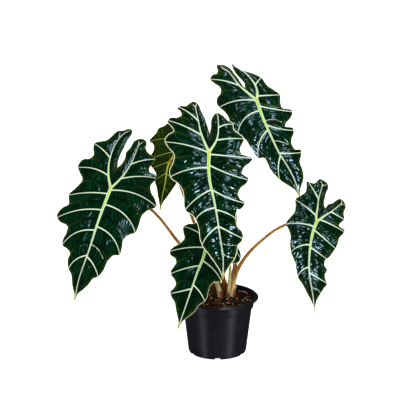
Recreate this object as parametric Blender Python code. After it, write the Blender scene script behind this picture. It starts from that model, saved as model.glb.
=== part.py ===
"""Potted alocasia: seven arrow-shaped leaves on their petioles, in a black nursery pot.

Metres, +Z up. The origin is the centre of the pot's foot, and the plant faces -Y.
Sizes below are in millimetres and are scaled by MM where a mesh is made.
"""
from dataclasses import dataclass
from math import cos, pi, radians, sin

import bmesh
import bpy
import numpy as np
from mathutils import Euler, Vector
from mathutils.bvhtree import BVHTree

MM = 0.001
CLEARANCE = 0.3

# Pot: a turned plastic shell. Its collar stands proud of the wall, under a rolled lip.
POT_HEIGHT = 86.0
LIP_RADIUS = 60.0
LIP_HEIGHT = 4.8
COLLAR_TOP_RADIUS = 54.5
COLLAR_FOOT_RADIUS = 52.7
COLLAR_DROP = 17.0
COLLAR_STEP = 1.0
EDGE_ROUND = 1.0
WALL_TOP_RADIUS = 50.3
WALL_FOOT_RADIUS = 42.6
FOOT_RADIUS = 40.0
FOOT_WIDTH = 4.0
FOOT_RECESS = 1.5
PAD_RADIUS = 15.0
CORNER_HEIGHT = 3.5
CORNER_BULGE = 1.8
POT_WALL = 1.4
FLOOR_TOP = 3.1
POT_SIDES = 48
DRAIN_COUNT = 6
DRAIN_WIDTH = 8.0
DRAIN_LENGTH = 9.0
DRAIN_TOP = 1.8
DRAIN_HOLE_RADIUS = 3.5
DRAIN_HOLE_RING = 26.0

# Soil: fills the pot to a little under the rim, with bark chips at its top
SOIL_TOP = 80.0
SOIL_BUMP = 0.5
SOIL_SIDES = 36
SOIL_RINGS = (40.0, 30.0, 20.0, 10.0, 0.0)
CHIP_COUNT = 44
CHIP_SIZE = (5.4, 3.4, 2.2)
CHIP_LIFT = 0.25
CHIP_TILT = 0.5
CHIP_MARGIN = 5.0
CROWN_CENTRE = (10.0, 8.5)
CROWN_RADIUS = 18.0
STEM_DEPTH = 14.0
STEM_FOOT_RADIUS = 2.4
STEM_SWELL = 3.0
HOLE_CLEARANCE = 0.4

# Leaf blades
BLADE = 0.8
BLADE_ROWS = (0.0, 0.3, 0.65, 1.0)
WALK_JOIN = 0.02
MIDRIB_SPACING = 5.5
LOBE_SPACING = 5.0
ARCH = 0.045
LOBE_EASE = 0.6
FOLD = 2.2
DROOP = 2.5
QUILT = 1.3
WAVE = 2.0
WAVE_FULL_WIDTH = 28.0
NOTCH_RELIEF = 0.3
FRONT = (0.0, -0.966, 0.259)

# Ribs and veins, raised on the blade's shown face
MIDRIB_HALF = 2.6
MIDRIB_RISE = 1.3
LOBE_RIB_HALF = 2.0
LOBE_RIB_RISE = 1.1
VEIN_HALF = 1.2
VEIN_RISE = 0.75
TIP_SHARE = 0.3
VEIN_END = 0.96
BARE_TIP_COLUMNS = 2
VEIN_ROOT_RISE = 0.7
SEARCH_REACH = 2.6

# Petioles, each with a thin straight foot in its hole in the soil
PETIOLE_TOP_RADIUS = 1.9
PETIOLE_SPACING = 17.0
APPROACH = 7.0
SHEATH_WALL = 0.6
SHEATH_GAP = 0.75
SHEATH_SPREAD = 42.0
SHEATH_TIP_SHARE = 0.08
SHEATH_FLARE = 1.2
SHEATH_POINTS = 5

DARK_GREEN = (0.008, 0.045, 0.022)
UNDERSIDE_GREEN = (0.045, 0.085, 0.010)
PALE_VEIN = (0.55, 0.72, 0.36)
UNDERSIDE_VEIN = (0.36, 0.42, 0.06)
TAN_PETIOLE = (0.42, 0.22, 0.04)
YOUNG_PETIOLE = (0.52, 0.50, 0.10)
RED_SHEATH = (0.34, 0.06, 0.05)
BLACK_PLASTIC = (0.012, 0.012, 0.015)
DARK_SOIL = (0.030, 0.014, 0.008)


@dataclass
class Half:
    """One half of a blade. Points are (distance out from the midrib, distance along towards the tip)."""
    lobe_rib: tuple
    rim: tuple
    veins: tuple


@dataclass
class Leaf:
    """A blade hangs in the plane of its joint, its tip and its facing. The midrib's points and the
    notch are (across to the right, along). A vein is (place on the rib, end out, end along, bow),
    where a place below nought lies up the lobe's rib."""
    name: str
    joint: tuple
    tip: tuple
    facing: tuple
    notch: tuple
    midrib: tuple
    left: Half
    right: Half
    petiole: tuple
    petiole_radius: float
    underside: bool = False


LEFT_LEAF = Leaf(
    name="leaf_left",
    joint=(-154, 5, 245), tip=(-200, -95, 111), facing=(-0.35, -1, 0.3),
    notch=(0, -34),
    midrib=((0, 0), (-2, 45), (-2, 100), (-3, 150), (0, 173)),
    left=Half(
        lobe_rib=((0, 0), (10, -20), (16, -47), (12, -80), (8, -88)),
        rim=((2, -43), (2, -53), (0, -66), (-2, -80), (-5, -90), (-3, -97), (3, -98), (10, -94),
             (18, -92), (25, -82), (30, -75), (40, -71), (48, -67), (47, -58), (43, -47), (48, -41),
             (56, -39), (61, -25), (56, -18), (47, -6), (53, 8), (60, 21), (57, 28), (55, 34),
             (63, 42), (67, 56), (60, 63), (45, 69), (44, 78), (46, 90), (44, 98), (35, 102),
             (29, 107), (29, 118), (24, 131), (17, 139), (10, 155), (3, 167)),
        veins=((-50, 48, -66, 2), (-21, 61, -24, 5), (9, 60, 21, 3), (35, 66, 58, 6),
               (67, 44, 97, 9), (106, 24, 131, 5))),
    right=Half(
        lobe_rib=((0, 0), (10, -17), (18, -42), (20, -62), (21, -76)),
        rim=((5, -44), (6, -53), (5, -59), (9, -68), (12, -80), (20, -85), (28, -84), (32, -79),
             (33, -71), (37, -66), (45, -61), (52, -57), (51, -49), (48, -41), (50, -35), (60, -32),
             (62, -24), (58, -14), (62, -4), (71, 6), (76, 17), (66, 24), (60, 32), (59, 50),
             (57, 61), (50, 65), (44, 72), (45, 88), (44, 98), (36, 100), (31, 108), (28, 125),
             (23, 135), (17, 139), (13, 149), (8, 157), (2, 165)),
        veins=((-46, 52, -56, 2), (-20, 62, -27, 3), (3, 76, 17, 8), (26, 57, 61, 9),
               (61, 44, 97, 8), (108, 23, 135, 3))),
    petiole=((-2.5, 11.5, 78), (-4, 12, 88), (-25, 14, 122), (-56, 14, 160), (-98, 14, 212),
             (-132, 18, 232), (-147, 16, 240)),
    petiole_radius=3.4)

BACK_LEAF = Leaf(
    name="leaf_back",
    joint=(-69.5, 68, 271), tip=(-85.5, 94, 189), facing=(0.25, -1, -0.3),
    notch=(8, -25),
    midrib=((0, 0), (-2, 10), (-2, 20), (-1, 36), (-1, 65), (0, 87)),
    left=Half(
        lobe_rib=((0, 0), (-5, -16), (-6, -34), (-4, -52), (0, -60)),
        rim=((-8, -34), (-9, -44), (-9, -56), (-5, -66), (2, -69), (9, -67), (15, -63), (20, -58),
             (27, -54), (29, -46), (33, -40), (37, -32), (30, -26), (28, -18), (30, -10), (33, -1),
             (30, 8), (23, 16), (17, 26), (17, 37), (12, 50), (9, 60), (5, 72), (2, 81)),
        veins=((-36, 36, -31, 4), (-17, 33, -1, 1), (2, 24, 15, 1), (22, 17, 36, 1))),
    right=Half(
        lobe_rib=((0, 0), (12, -14), (22, -30), (30, -44)),
        rim=((12, -34), (18, -43), (24, -51), (31, -52), (37, -46), (38, -36), (35, -28), (38, -20),
             (43, -12), (38, -4), (33, 2), (34, 10), (36, 18), (29, 24), (22, 30), (17, 40),
             (13, 50), (8, 62), (3, 73), (1, 81)),
        veins=((-20, 43, -12, 0), (3, 36, 17, 2), (24, 18, 38, 1))),
    petiole=((4, 16.5, 78), (3.5, 17.5, 90), (-10, 20, 135), (-34, 24, 188), (-50, 32, 229),
             (-57, 42, 246), (-60.5, 48, 262), (-64.5, 54, 270)),
    petiole_radius=3.2,
    underside=True)

CENTRE_LEAF = Leaf(
    name="leaf_centre",
    joint=(-13, -45, 310), tip=(6, -110, 149), facing=(-0.05, -1, 0.3),
    notch=(4, -29),
    midrib=((0, 0), (-3, 22), (-3.5, 42), (-1.5, 60), (0.5, 82), (2, 120), (3, 150), (0, 175)),
    left=Half(
        lobe_rib=((0, 0), (5, -15), (9, -33), (10, -46), (12, -66)),
        rim=((-2, -40), (0, -50), (4, -60), (7, -70), (13, -75), (20, -73), (25, -70), (33, -71),
             (38, -68), (34, -62), (33, -58), (40, -55), (48, -56), (54, -51), (49, -43), (46, -36),
             (54, -32), (60, -25), (57, -15), (49, -1), (52, 9), (58, 20), (57, 30), (48, 39),
             (43, 48), (42, 60), (43, 72), (41, 79), (33, 85), (28, 95), (26, 108), (26, 120),
             (24, 128), (15, 144), (5, 163)),
        veins=((-47, 36, -69, 2), (-26, 53, -52, 2), (1, 60, -22, 3), (22, 57, 28, 4),
               (53, 42, 77, 3), (79, 29, 92, 4), (105, 24, 128, 3))),
    right=Half(
        lobe_rib=((0, 0), (7, -8), (13, -17), (17, -33), (18, -47)),
        rim=((6, -36), (7, -43), (10, -50), (17, -55), (24, -51), (31, -43), (38, -36), (38, -29),
             (44, -22), (51, -13), (48, -6), (44, 1), (46, 8), (52, 11), (60, 16), (55, 22),
             (46, 28), (43, 35), (47, 39), (51, 43), (47, 50), (38, 56), (34, 63), (36, 70),
             (42, 76), (38, 83), (29, 88), (27, 96), (28, 108), (33, 115), (34, 124), (31, 130),
             (26, 134), (23, 143), (19, 152), (12, 160), (5, 169)),
        veins=((-38, 38, -35, 2), (-20, 51, -13, 1), (3, 59, 16, 0), (18, 50, 45, -2),
               (53, 42, 77, -2), (82, 27, 97, 2), (105, 34, 126, 0))),
    petiole=((10.5, 10, 78), (10, 9, 92), (7, 6, 122), (2, 3, 160), (-4, 0, 210), (-9, -5, 255),
             (-12, -16, 288), (-12, -30, 303)),
    petiole_radius=3.3)

TOP_LEAF = Leaf(
    name="leaf_top",
    joint=(55, 20, 371), tip=(115, -30, 245), facing=(0.2, -1, 0.3),
    notch=(-8, -23),
    midrib=((0, 0), (-2.5, 25), (-3, 60), (-2.5, 82), (0, 100), (2, 122), (1, 138), (-1, 148)),
    left=Half(
        lobe_rib=((0, 0), (7, -14), (14, -29), (17, -42), (20, -54), (26, -62)),
        rim=((10, -30), (11, -40), (13, -47), (15, -56), (20, -64), (26, -68), (32, -69), (34, -61),
             (37, -58), (42, -59), (49, -54), (46, -46), (41, -37), (44, -29), (51, -25), (55, -17),
             (54, -11), (50, -3), (48, 8), (51, 20), (50, 29), (46, 36), (39, 46), (37, 60),
             (35, 72), (33, 78), (25, 81), (24, 90), (24, 100), (20, 112), (17, 119), (10, 130),
             (4, 139)),
        veins=((-32, 49, -54, 2), (1, 54, -11, 5), (16, 46, 35, 8), (46, 33, 78, 6),
               (87, 17, 118, 3))),
    right=Half(
        lobe_rib=((0, 0), (5, -8), (7.5, -22), (5, -34), (0, -46), (-7, -56)),
        rim=((-6, -29), (-7, -34), (-10, -42), (-12, -51), (-12, -58), (-10.5, -63), (-7, -57),
             (-1, -49), (6, -43), (13, -37), (20.5, -28), (24, -13), (30, -4), (35, 6), (31, 15),
             (30, 25), (35, 29), (41, 32), (39, 39), (32, 44), (24, 48), (22, 51), (26, 54),
             (31, 56), (30, 64), (23, 71), (20, 78), (22, 87), (29, 90), (26, 98), (20, 106),
             (19, 117), (15, 130), (7, 139)),
        veins=((-23, 20, -28, 0), (-6, 35, 6, 0), (9, 40, 35, -1), (38, 31, 61, -2),
               (83, 28, 94, -1))),
    petiole=((18.5, 14, 78), (20.5, 14, 94), (25.5, 15, 127), (26.5, 16, 165), (25, 17, 217),
             (29, 20, 290), (38, 26, 335), (50, 31, 360)),
    petiole_radius=3.4)

RIGHT_LEAF = Leaf(
    name="leaf_right",
    joint=(143, 5, 195), tip=(138, -40, 74), facing=(0.3, -1, 0.3),
    notch=(13, -21),
    midrib=((0, 0), (-4, 10), (-8, 28), (-10, 50), (-10, 65), (-8, 82), (-4, 100), (-1, 115),
            (0, 130)),
    left=Half(
        lobe_rib=((0, 0), (1, -8), (-1, -20), (-2, -33), (-5, -44), (-8, -55)),
        rim=((-11, -27), (-12, -34), (-14, -43), (-17, -50), (-16, -57), (-10, -61), (-3, -63),
             (2, -58), (5, -56), (11, -57), (16, -58), (17, -50), (18, -43), (25, -37), (33, -31),
             (33, -22), (34, -13), (40, -5), (47, 6), (43, 13), (40, 21), (40, 35), (38, 46),
             (32, 60), (29, 71), (26, 82), (20, 90), (12, 103), (4, 116), (1, 123)),
        veins=((-34, 14, -58, 0), (-9, 33, -30, 1), (8, 47, 6, 3), (35, 38, 46, 4),
               (67, 26, 80, 3))),
    right=Half(
        lobe_rib=((0, 0), (10, -8), (22, -16), (38, -29)),
        rim=((18, -27), (24, -29), (29, -33), (36, -36), (42, -32), (45, -25), (42, -16), (43, -5),
             (38, -1), (35, 3), (38, 7), (44, 9), (42, 15), (36, 21), (34, 28), (30, 38), (26, 43),
             (21, 50), (15, 55), (14, 62), (18, 68), (15, 76), (17, 84), (19, 89), (14, 96),
             (9, 104), (4, 113), (2, 121)),
        veins=((-27, 43, -6, 0), (-6, 43, 12, 1), (12, 30, 37, 0), (38, 17, 53, 0),
               (75, 19, 88, 0))),
    petiole=((22, 6, 78), (22.5, 6, 92), (28, 6, 119), (46, 5, 149), (65, 5, 168), (84, 6, 183),
             (101, 8, 191), (124, 13, 197), (136, 14, 198)),
    petiole_radius=3.3)

LOW_LEAF = Leaf(
    name="leaf_low",
    joint=(-17, -45, 172), tip=(-56, -100, 71), facing=(-0.2, -1, 0.3),
    notch=(1, -24),
    midrib=((0, 0), (1, 12), (0, 40), (0, 75), (0, 105), (0, 121)),
    left=Half(
        lobe_rib=((0, 0), (7, -14), (11, -28), (12, -42)),
        rim=((1, -33), (4, -43), (9, -50), (15, -50), (20, -43), (22, -35), (27, -28), (35, -25),
             (41, -18), (38, -10), (34, -3), (38, 6), (45, 14), (48, 22), (44, 27), (37, 29),
             (34, 33), (35, 40), (37, 48), (34, 54), (28, 58), (24, 64), (26, 72), (28, 76),
             (24, 83), (17, 89), (12, 98), (6, 108), (2, 115)),
        veins=((-15, 41, -19, 2), (1, 48, 22, 3), (28, 36, 52, 2), (63, 27, 79, 0))),
    right=Half(
        lobe_rib=((0, 0), (8, -12), (13, -24), (16, -34)),
        rim=((4, -31), (8, -37), (13, -42), (19, -41), (24, -36), (27, -30), (33, -27), (38, -20),
             (35, -13), (31, -6), (33, 1), (37, 8), (34, 15), (31, 21), (33, 30), (37, 38), (35, 42),
             (27, 45), (24, 52), (24, 60), (25, 70), (23, 76), (18, 82), (15, 92), (9, 102),
             (3, 112)),
        veins=((-15, 38, -21, 2), (1, 37, 8, 2), (20, 37, 40, 3), (57, 24, 75, 2))),
    petiole=((4, 4, 78), (3, 3.5, 88), (-1, 0, 104), (-8, -8, 130), (-14, -22, 152),
             (-16, -33, 164)),
    petiole_radius=3.9)

YOUNG_LEAF = Leaf(
    name="leaf_young",
    joint=(16, -10, 197), tip=(7, -24, 134), facing=(0.3, -1, 0.3),
    notch=(0, -7),
    midrib=((0, 0), (0, 32), (0, 65)),
    left=Half(
        lobe_rib=((0, 0), (5, -6), (8, -12)),
        rim=((3, -13), (8, -18), (13, -16), (16, -8), (16, 3), (18, 14), (17, 26), (15, 36),
             (12, 46), (7, 56)),
        veins=((8, 18, 14, 1), (27, 15, 36, 1))),
    right=Half(
        lobe_rib=((0, 0), (4, -5), (6, -9)),
        rim=((3, -10), (6, -14), (9, -11), (10, -3), (11, 6), (15, 18), (18, 31), (24, 41),
             (25, 49), (22, 55), (14, 57), (7, 59)),
        veins=((8, 14, 15, 1), (27, 25, 49, 2))),
    petiole=((16, 2.5, 78), (16.5, 1.5, 92), (18, 1, 127), (17, 3, 165), (15, 3, 186)),
    petiole_radius=2.6)

LEAVES = (LEFT_LEAF, BACK_LEAF, CENTRE_LEAF, TOP_LEAF, RIGHT_LEAF, LOW_LEAF, YOUNG_LEAF)

# A sheath wraps part of a petiole's foot: the leaf, the direction it faces in degrees, its height
SHEATHS = (
    ("sheath_low", LOW_LEAF, -45, 15.0),
    ("sheath_centre", CENTRE_LEAF, -20, 30.0),
    ("sheath_young", YOUNG_LEAF, -95, 12.0),
    ("sheath_right", RIGHT_LEAF, -40, 18.0),
)


# Shared tools

def clear_scene():
    for thing in list(bpy.data.objects):
        bpy.data.objects.remove(thing)


def make_material(name, colour, roughness):
    material = bpy.data.materials.new(name)
    material.use_nodes = True
    shader = material.node_tree.nodes["Principled BSDF"]
    shader.inputs["Base Color"].default_value = (*colour, 1.0)
    shader.inputs["Roughness"].default_value = roughness
    shader.inputs["Metallic"].default_value = 0.0
    return material


def make_object(name, vertices, faces, material=None):
    """An object from points in millimetres."""
    mesh = bpy.data.meshes.new(name)
    mesh.from_pydata([tuple(point) for point in np.asarray(vertices) * MM], [], faces)
    obj = bpy.data.objects.new(name, mesh)
    bpy.context.scene.collection.objects.link(obj)
    if material:
        mesh.materials.append(material)
    return obj


def tidy_mesh(obj, merge=1e-6):
    """Merges doubled points, drops flat faces, triangulates and turns the faces outwards."""
    edit = bmesh.new()
    edit.from_mesh(obj.data)
    bmesh.ops.remove_doubles(edit, verts=edit.verts, dist=merge)
    bmesh.ops.dissolve_degenerate(edit, edges=edit.edges, dist=merge)
    bmesh.ops.triangulate(edit, faces=edit.faces)
    bmesh.ops.recalc_face_normals(edit, faces=edit.faces)
    edit.to_mesh(obj.data)
    edit.free()


def apply_modifiers(obj):
    graph = bpy.context.evaluated_depsgraph_get()
    mesh = bpy.data.meshes.new_from_object(obj.evaluated_get(graph))
    obj.modifiers.clear()
    obj.data = mesh


def combine(obj, others, operation, solver="EXACT"):
    """One Boolean of the object with a collection of others, which are then removed."""
    group = bpy.data.collections.new(obj.name + "_others")
    bpy.context.scene.collection.children.link(group)
    for other in others:
        for home in other.users_collection:
            home.objects.unlink(other)
        group.objects.link(other)
    boolean = obj.modifiers.new("Join", "BOOLEAN")
    boolean.operation = operation
    boolean.solver = solver
    boolean.operand_type = "COLLECTION"
    boolean.collection = group
    apply_modifiers(obj)
    for other in others:
        bpy.data.objects.remove(other)
    bpy.data.collections.remove(group)


def shade(obj, angle=40):
    obj.data.shade_smooth()
    obj.data.set_sharp_from_angle(angle=radians(angle))


def unit(vectors):
    return vectors / np.linalg.norm(vectors, axis=-1, keepdims=True)


def chord_lengths(points):
    steps = np.linalg.norm(np.diff(points, axis=0), axis=1)
    return np.concatenate([[0.0], np.cumsum(steps)])


def smooth_path(points, distance):
    """Cubic pieces through the points, read at distances along their straight chords."""
    points = np.asarray(points, float)
    knots = chord_lengths(points)
    slopes = np.gradient(points, knots, axis=0)
    distance = np.clip(distance, 0.0, knots[-1])
    piece = np.clip(np.searchsorted(knots, distance, side="right") - 1, 0, len(knots) - 2)
    length = (knots[piece + 1] - knots[piece])[..., None]
    share = (distance - knots[piece])[..., None] / length
    ease = share * share * (3.0 - 2.0 * share)
    leave = share * (1.0 - share) ** 2 * length * slopes[piece]
    arrive = share * share * (share - 1.0) * length * slopes[piece + 1]
    return points[piece] * (1.0 - ease) + points[piece + 1] * ease + leave + arrive


# Leaf form

class HalfForm:
    """A blade's half as a surface of two parameters.

    The first is a walk along the ribs: from the joint up the lobe's rib, back down it, and on along
    the midrib to the tip. The second runs from the rib, 0, to the margin, 1.
    """

    def __init__(self, leaf, side):
        half = leaf.right if side > 0 else leaf.left
        turn = np.array([side, 1.0])
        self.side = side
        self.lobe_rib = np.array(half.lobe_rib, float) * turn
        self.midrib = np.array(leaf.midrib, float)
        ends = np.array([leaf.notch, leaf.midrib[-1]], float)
        self.rim = np.vstack([ends[:1], np.array(half.rim, float) * turn, ends[1:]])
        self.lobe_length = chord_lengths(self.lobe_rib)[-1]
        self.length = 2 * self.lobe_length + chord_lengths(self.midrib)[-1]
        self.rim_length = chord_lengths(self.rim)[-1]
        self.vein_walks = [2 * self.lobe_length + vein[0] for vein in half.veins]
        vein_ends = [np.array(vein[1:3]) * turn for vein in half.veins]
        ends_on_rim = [self.rim_place(point) for point in [self.lobe_rib[-1], *vein_ends]]
        self.anchor_walk = np.array([0.0, self.lobe_length, *self.vein_walks, self.length])
        self.anchor_rim = np.array([0.0, *ends_on_rim, self.rim_length])
        self.anchor_bow = np.array([0.0, 0.0, *[vein[3] for vein in half.veins], 0.0])

    def rim_place(self, point):
        distance = np.linspace(0.0, self.rim_length, 1200)
        gap = np.linalg.norm(smooth_path(self.rim, distance) - point, axis=1)
        return distance[np.argmin(gap)]

    def rim_points_walks(self):
        """The walk's place beside each listed point of the margin."""
        return np.interp(chord_lengths(self.rim), self.anchor_rim, self.anchor_walk)

    def rib(self, walk):
        on_lobe = np.where(walk < self.lobe_length, walk, 2 * self.lobe_length - walk)
        lobe = smooth_path(self.lobe_rib, on_lobe)
        mid = smooth_path(self.midrib, walk - 2 * self.lobe_length)
        return np.where((walk < 2 * self.lobe_length)[..., None], lobe, mid)

    def flat(self, walk, out):
        """Straight from rib to margin, with each vein's bow added towards the lobe."""
        start = self.rib(walk)
        end = smooth_path(self.rim, np.interp(walk, self.anchor_walk, self.anchor_rim))
        reach = end - start
        width = np.linalg.norm(reach, axis=-1)
        bow = np.interp(walk, self.anchor_walk, self.anchor_bow)
        across = np.stack([reach[..., 1], -reach[..., 0]], axis=-1) * self.side
        across = across / np.maximum(width, 1e-6)[..., None]
        bend = (bow * 4.0 * out * (1.0 - out))[..., None]
        return start + reach * out[..., None] + across * bend, width

    def relief(self, walk, out, width):
        """Height of the fold beside the rib, the quilting between veins and the margin's wave."""
        panel = np.clip(np.searchsorted(self.anchor_walk, walk, side="right") - 1, 0,
                        len(self.anchor_walk) - 2)
        first = self.anchor_walk[panel]
        phase = (walk - first) / (self.anchor_walk[panel + 1] - first)
        full = np.clip(width / WAVE_FULL_WIDTH, 0.0, 1.0)
        full = full * np.interp(walk, [0.0, self.lobe_length], [NOTCH_RELIEF, 1.0])
        rise = np.sin(pi * out) ** 2
        fold = FOLD * rise - DROOP * out ** 2
        quilt = QUILT * np.sin(pi * phase) ** 2 * rise
        wave = -WAVE * np.cos(2 * pi * phase) * out ** 3
        return (fold + quilt + wave) * full


class LeafForm:
    """Puts a blade's flat form and relief into space."""

    def __init__(self, leaf):
        self.leaf = leaf
        self.joint = np.array(leaf.joint, float)
        reach = np.array(leaf.tip, float) - self.joint
        self.length = np.linalg.norm(reach)
        self.along = reach / self.length
        facing = np.array(leaf.facing, float)
        self.facing = unit(facing - self.along * facing.dot(self.along))
        self.across = np.cross(self.facing, self.along)
        front = np.array(FRONT)
        self.raise_by = front / front.dot(self.facing)
        self.face = -1.0 if leaf.underside else 1.0
        self.halves = {side: HalfForm(leaf, side) for side in (-1, 1)}

    def point(self, side, walk, out):
        half = self.halves[side]
        flat, width = half.flat(walk, out)
        share = flat[..., 1] / self.length
        bend = np.where(share > 0, 1.0 - share, 1.0 + LOBE_EASE * share)
        arch = ARCH * self.length * 4.0 * share * bend
        height = (arch + half.relief(walk, out, width)) * self.face
        return (self.joint + flat[..., :1] * self.across + flat[..., 1:] * self.along
                + height[..., None] * self.raise_by)

    def normal(self, side, walk, out, step=0.5):
        """From the surface's slopes along and out from the rib, turned to the shown face."""
        nudge = 0.02
        inward = np.clip(out, nudge, 1.0 - nudge)
        down = self.point(side, walk + step, inward) - self.point(side, walk - step, inward)
        outward = self.point(side, walk, inward + nudge) - self.point(side, walk, inward - nudge)
        normal = unit(np.cross(down, outward))
        return normal * np.sign(normal @ self.facing)[..., None]


def thin_out(places, keep, spacing):
    """All places to keep, and those of the others that lie the spacing clear of every chosen one."""
    chosen = sorted(set(np.round(keep, 3)))
    for place in sorted(places):
        if min(abs(place - other) for other in chosen) >= spacing:
            chosen.append(place)
    return np.array(sorted(chosen))


def blade_columns(form):
    """Each half's columns. Halves share their places on the midrib, and the two faces of a lobe's
    rib share theirs, so the blade has no cracks."""
    ends_on_midrib = []
    keep_on_midrib = []
    for half in form.halves.values():
        start = 2 * half.lobe_length
        walks = half.rim_points_walks()
        ends_on_midrib.extend(walks[walks > start] - start)
        keep_on_midrib.extend(half.anchor_walk[half.anchor_walk > start] - start)
    midrib = thin_out(ends_on_midrib, [0.0, *keep_on_midrib], MIDRIB_SPACING)
    columns = {}
    for side, half in form.halves.items():
        turn = half.lobe_length
        walks = half.rim_points_walks()
        lobe_ends = turn - np.abs(walks[walks < 2 * turn] - turn)
        lobe_veins = half.anchor_walk[(half.anchor_walk > turn) & (half.anchor_walk < 2 * turn)]
        lobe = thin_out(lobe_ends, [0.0, turn, *(2 * turn - lobe_veins)], LOBE_SPACING)
        back = 2 * turn - lobe[::-1]
        columns[side] = np.concatenate([lobe, back[1:], 2 * turn + midrib[1:]])
    return columns


def make_blade(leaf, form, material):
    vertices = []
    faces = []
    rows = np.array(BLADE_ROWS)
    for side, walks in blade_columns(form).items():
        walk, out = np.meshgrid(walks, rows, indexing="ij")
        points = form.point(side, walk, out).reshape(-1, 3)
        first = sum(len(block) for block in vertices)
        vertices.append(points)
        for column in range(len(walks) - 1):
            for row in range(len(rows) - 1):
                a = first + column * len(rows) + row
                b = a + len(rows)
                faces.append((a, a + 1, b + 1, b) if side > 0 else (a, b, b + 1, a + 1))
    blade = make_object(leaf.name + "_blade", np.vstack(vertices), faces, material)
    tidy_mesh(blade, merge=WALK_JOIN * MM)
    wall = blade.modifiers.new("Wall", "SOLIDIFY")
    wall.thickness = BLADE * MM
    wall.offset = 0.0
    apply_modifiers(blade)
    tidy_mesh(blade)
    shade(blade, 60)
    return blade


def blade_tree(blade):
    """A search tree of the blade's faces, in millimetres."""
    points = [vertex.co / MM for vertex in blade.data.vertices]
    return BVHTree.FromPolygons(points, [face.vertices for face in blade.data.polygons])


def blade_height(tree, points, normal):
    """How far the blade's face stands above the highest-covered point, along the normal."""
    heights = [-SEARCH_REACH]
    for point in points:
        start = Vector(point + normal * SEARCH_REACH)
        distance = tree.ray_cast(start, Vector(-normal), 2 * SEARCH_REACH)[3]
        if distance is not None:
            heights.append(SEARCH_REACH - distance)
    return max(heights)


def seat_heights(tree, centre, normals, beside):
    """The lowest foot height at each section that clears the blade in the stretches beside it."""
    heights = np.full(len(centre), BLADE / 2)
    across = np.linspace(-1.0, 1.0, 5)[:, None]
    for section in range(len(centre) - 1):
        for share in np.linspace(0.0, 1.0, 6):
            mixed = [block[section] * (1.0 - share) + block[section + 1] * share
                     for block in (centre, normals, beside)]
            height = blade_height(tree, mixed[0] + across * mixed[2], unit(mixed[1]))
            heights[section:section + 2] = np.maximum(heights[section:section + 2], height)
    return heights + CLEARANCE


def rib_bar(name, tree, centre, normals, half_width, rise, root_rise=0.0):
    """A three-sided bar just over the blade, tapering to its end: two foot edges and a crest. The
    root rise lifts its start into the rib that it leaves."""
    size = np.linspace(1.0, TIP_SHARE, len(centre))[:, None]
    along = unit(np.gradient(centre, axis=0))
    beside = unit(np.cross(normals, along)) * half_width * size
    base = seat_heights(tree, centre, normals, beside)[:, None]
    foot = centre + normals * base
    crest = centre + normals * (base + rise * size)
    crest[0] += normals[0] * root_rise
    ring = np.stack([foot - beside, crest, foot + beside], axis=1)
    count = len(centre)
    faces = [(0, 1, 2), (3 * count - 1, 3 * count - 2, 3 * count - 3)]
    for section in range(count - 1):
        for corner in range(3):
            a = 3 * section + corner
            b = 3 * section + (corner + 1) % 3
            faces.append((a, a + 3, b + 3, b))
    bar = make_object(name, ring.reshape(-1, 3), faces)
    tidy_mesh(bar)
    return bar


def every_other(places):
    """Half of the blade's own columns, with both ends."""
    return np.concatenate([places[:-1:2], places[-1:]])


def rib_line(form, side, walk):
    """Points along a rib and its normals: on a lobe those of its wide outer side, and on the midrib
    the mean of both halves."""
    turn = 2 * form.halves[side].lobe_length
    start = np.zeros_like(walk)
    centre = form.point(side, walk, start)
    if walk[0] < turn:
        return centre, form.normal(side, np.maximum(walk, turn - walk), start)
    other = form.normal(-side, walk - turn + 2 * form.halves[-side].lobe_length, start)
    return centre, unit(form.normal(side, walk, start) + other)


def side_vein(form, side, place):
    """Points and normals from a rib out to the margin."""
    out = np.array([*BLADE_ROWS[:-1], VEIN_END])
    walk = np.full_like(out, place)
    normals = form.normal(side, walk, out)
    normals[0] = rib_line(form, side, walk[:1])[1][0]
    return form.point(side, walk, out), normals


def make_veins(leaf, form, tree, material):
    """The midrib, the two lobes' ribs and all side veins, joined in one body."""
    columns = blade_columns(form)
    bars = []
    for side, half in form.halves.items():
        lobe = columns[side][columns[side] <= half.lobe_length + 1e-6]
        bars.append(rib_bar("lobe_rib", tree, *rib_line(form, side, lobe), LOBE_RIB_HALF,
                            LOBE_RIB_RISE))
        for place in half.vein_walks:
            bars.append(rib_bar("vein", tree, *side_vein(form, side, place), VEIN_HALF, VEIN_RISE,
                                VEIN_ROOT_RISE))
    start = 2 * form.halves[1].lobe_length
    midrib = every_other(columns[1][columns[1] >= start - 1e-6][:-BARE_TIP_COLUMNS])
    veins = rib_bar(leaf.name + "_veins", tree, *rib_line(form, 1, np.maximum(midrib, start)),
                    MIDRIB_HALF, MIDRIB_RISE)
    combine(veins, bars, "UNION", "MANIFOLD")
    veins.data.materials.clear()
    veins.data.materials.append(material)
    shade(veins)
    return veins


# Petioles and sheaths

def petiole_route(leaf, form, tree):
    """Straight in the soil, through the listed points, then square onto the blade's back."""
    foot = np.array(leaf.petiole[0], float)
    bottom = foot * [1, 1, 0] + [0, 0, SOIL_TOP - STEM_DEPTH]
    normal = 0.0
    for side, half in form.halves.items():
        places = 2 * half.lobe_length + np.array([-APPROACH, APPROACH]) / 2
        normal = normal + form.normal(side, places, np.zeros(2)).sum(axis=0)
    away = unit(normal) * form.face * -1.0
    turns = np.linspace(0.0, 2 * pi, 12, endpoint=False)[:, None]
    sideways = unit(np.cross(away, [0.0, 0.0, 1.0]))
    rim = (np.cos(turns) * sideways + np.sin(turns) * np.cross(away, sideways)) * PETIOLE_TOP_RADIUS
    end_disc = form.joint + np.vstack([rim, rim * 0.6, rim * 0.2])
    end = form.joint + away * (blade_height(tree, end_disc, away) + CLEARANCE)
    near = form.joint + away * APPROACH
    return np.vstack([bottom, np.array(leaf.petiole, float), near, end])


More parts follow.
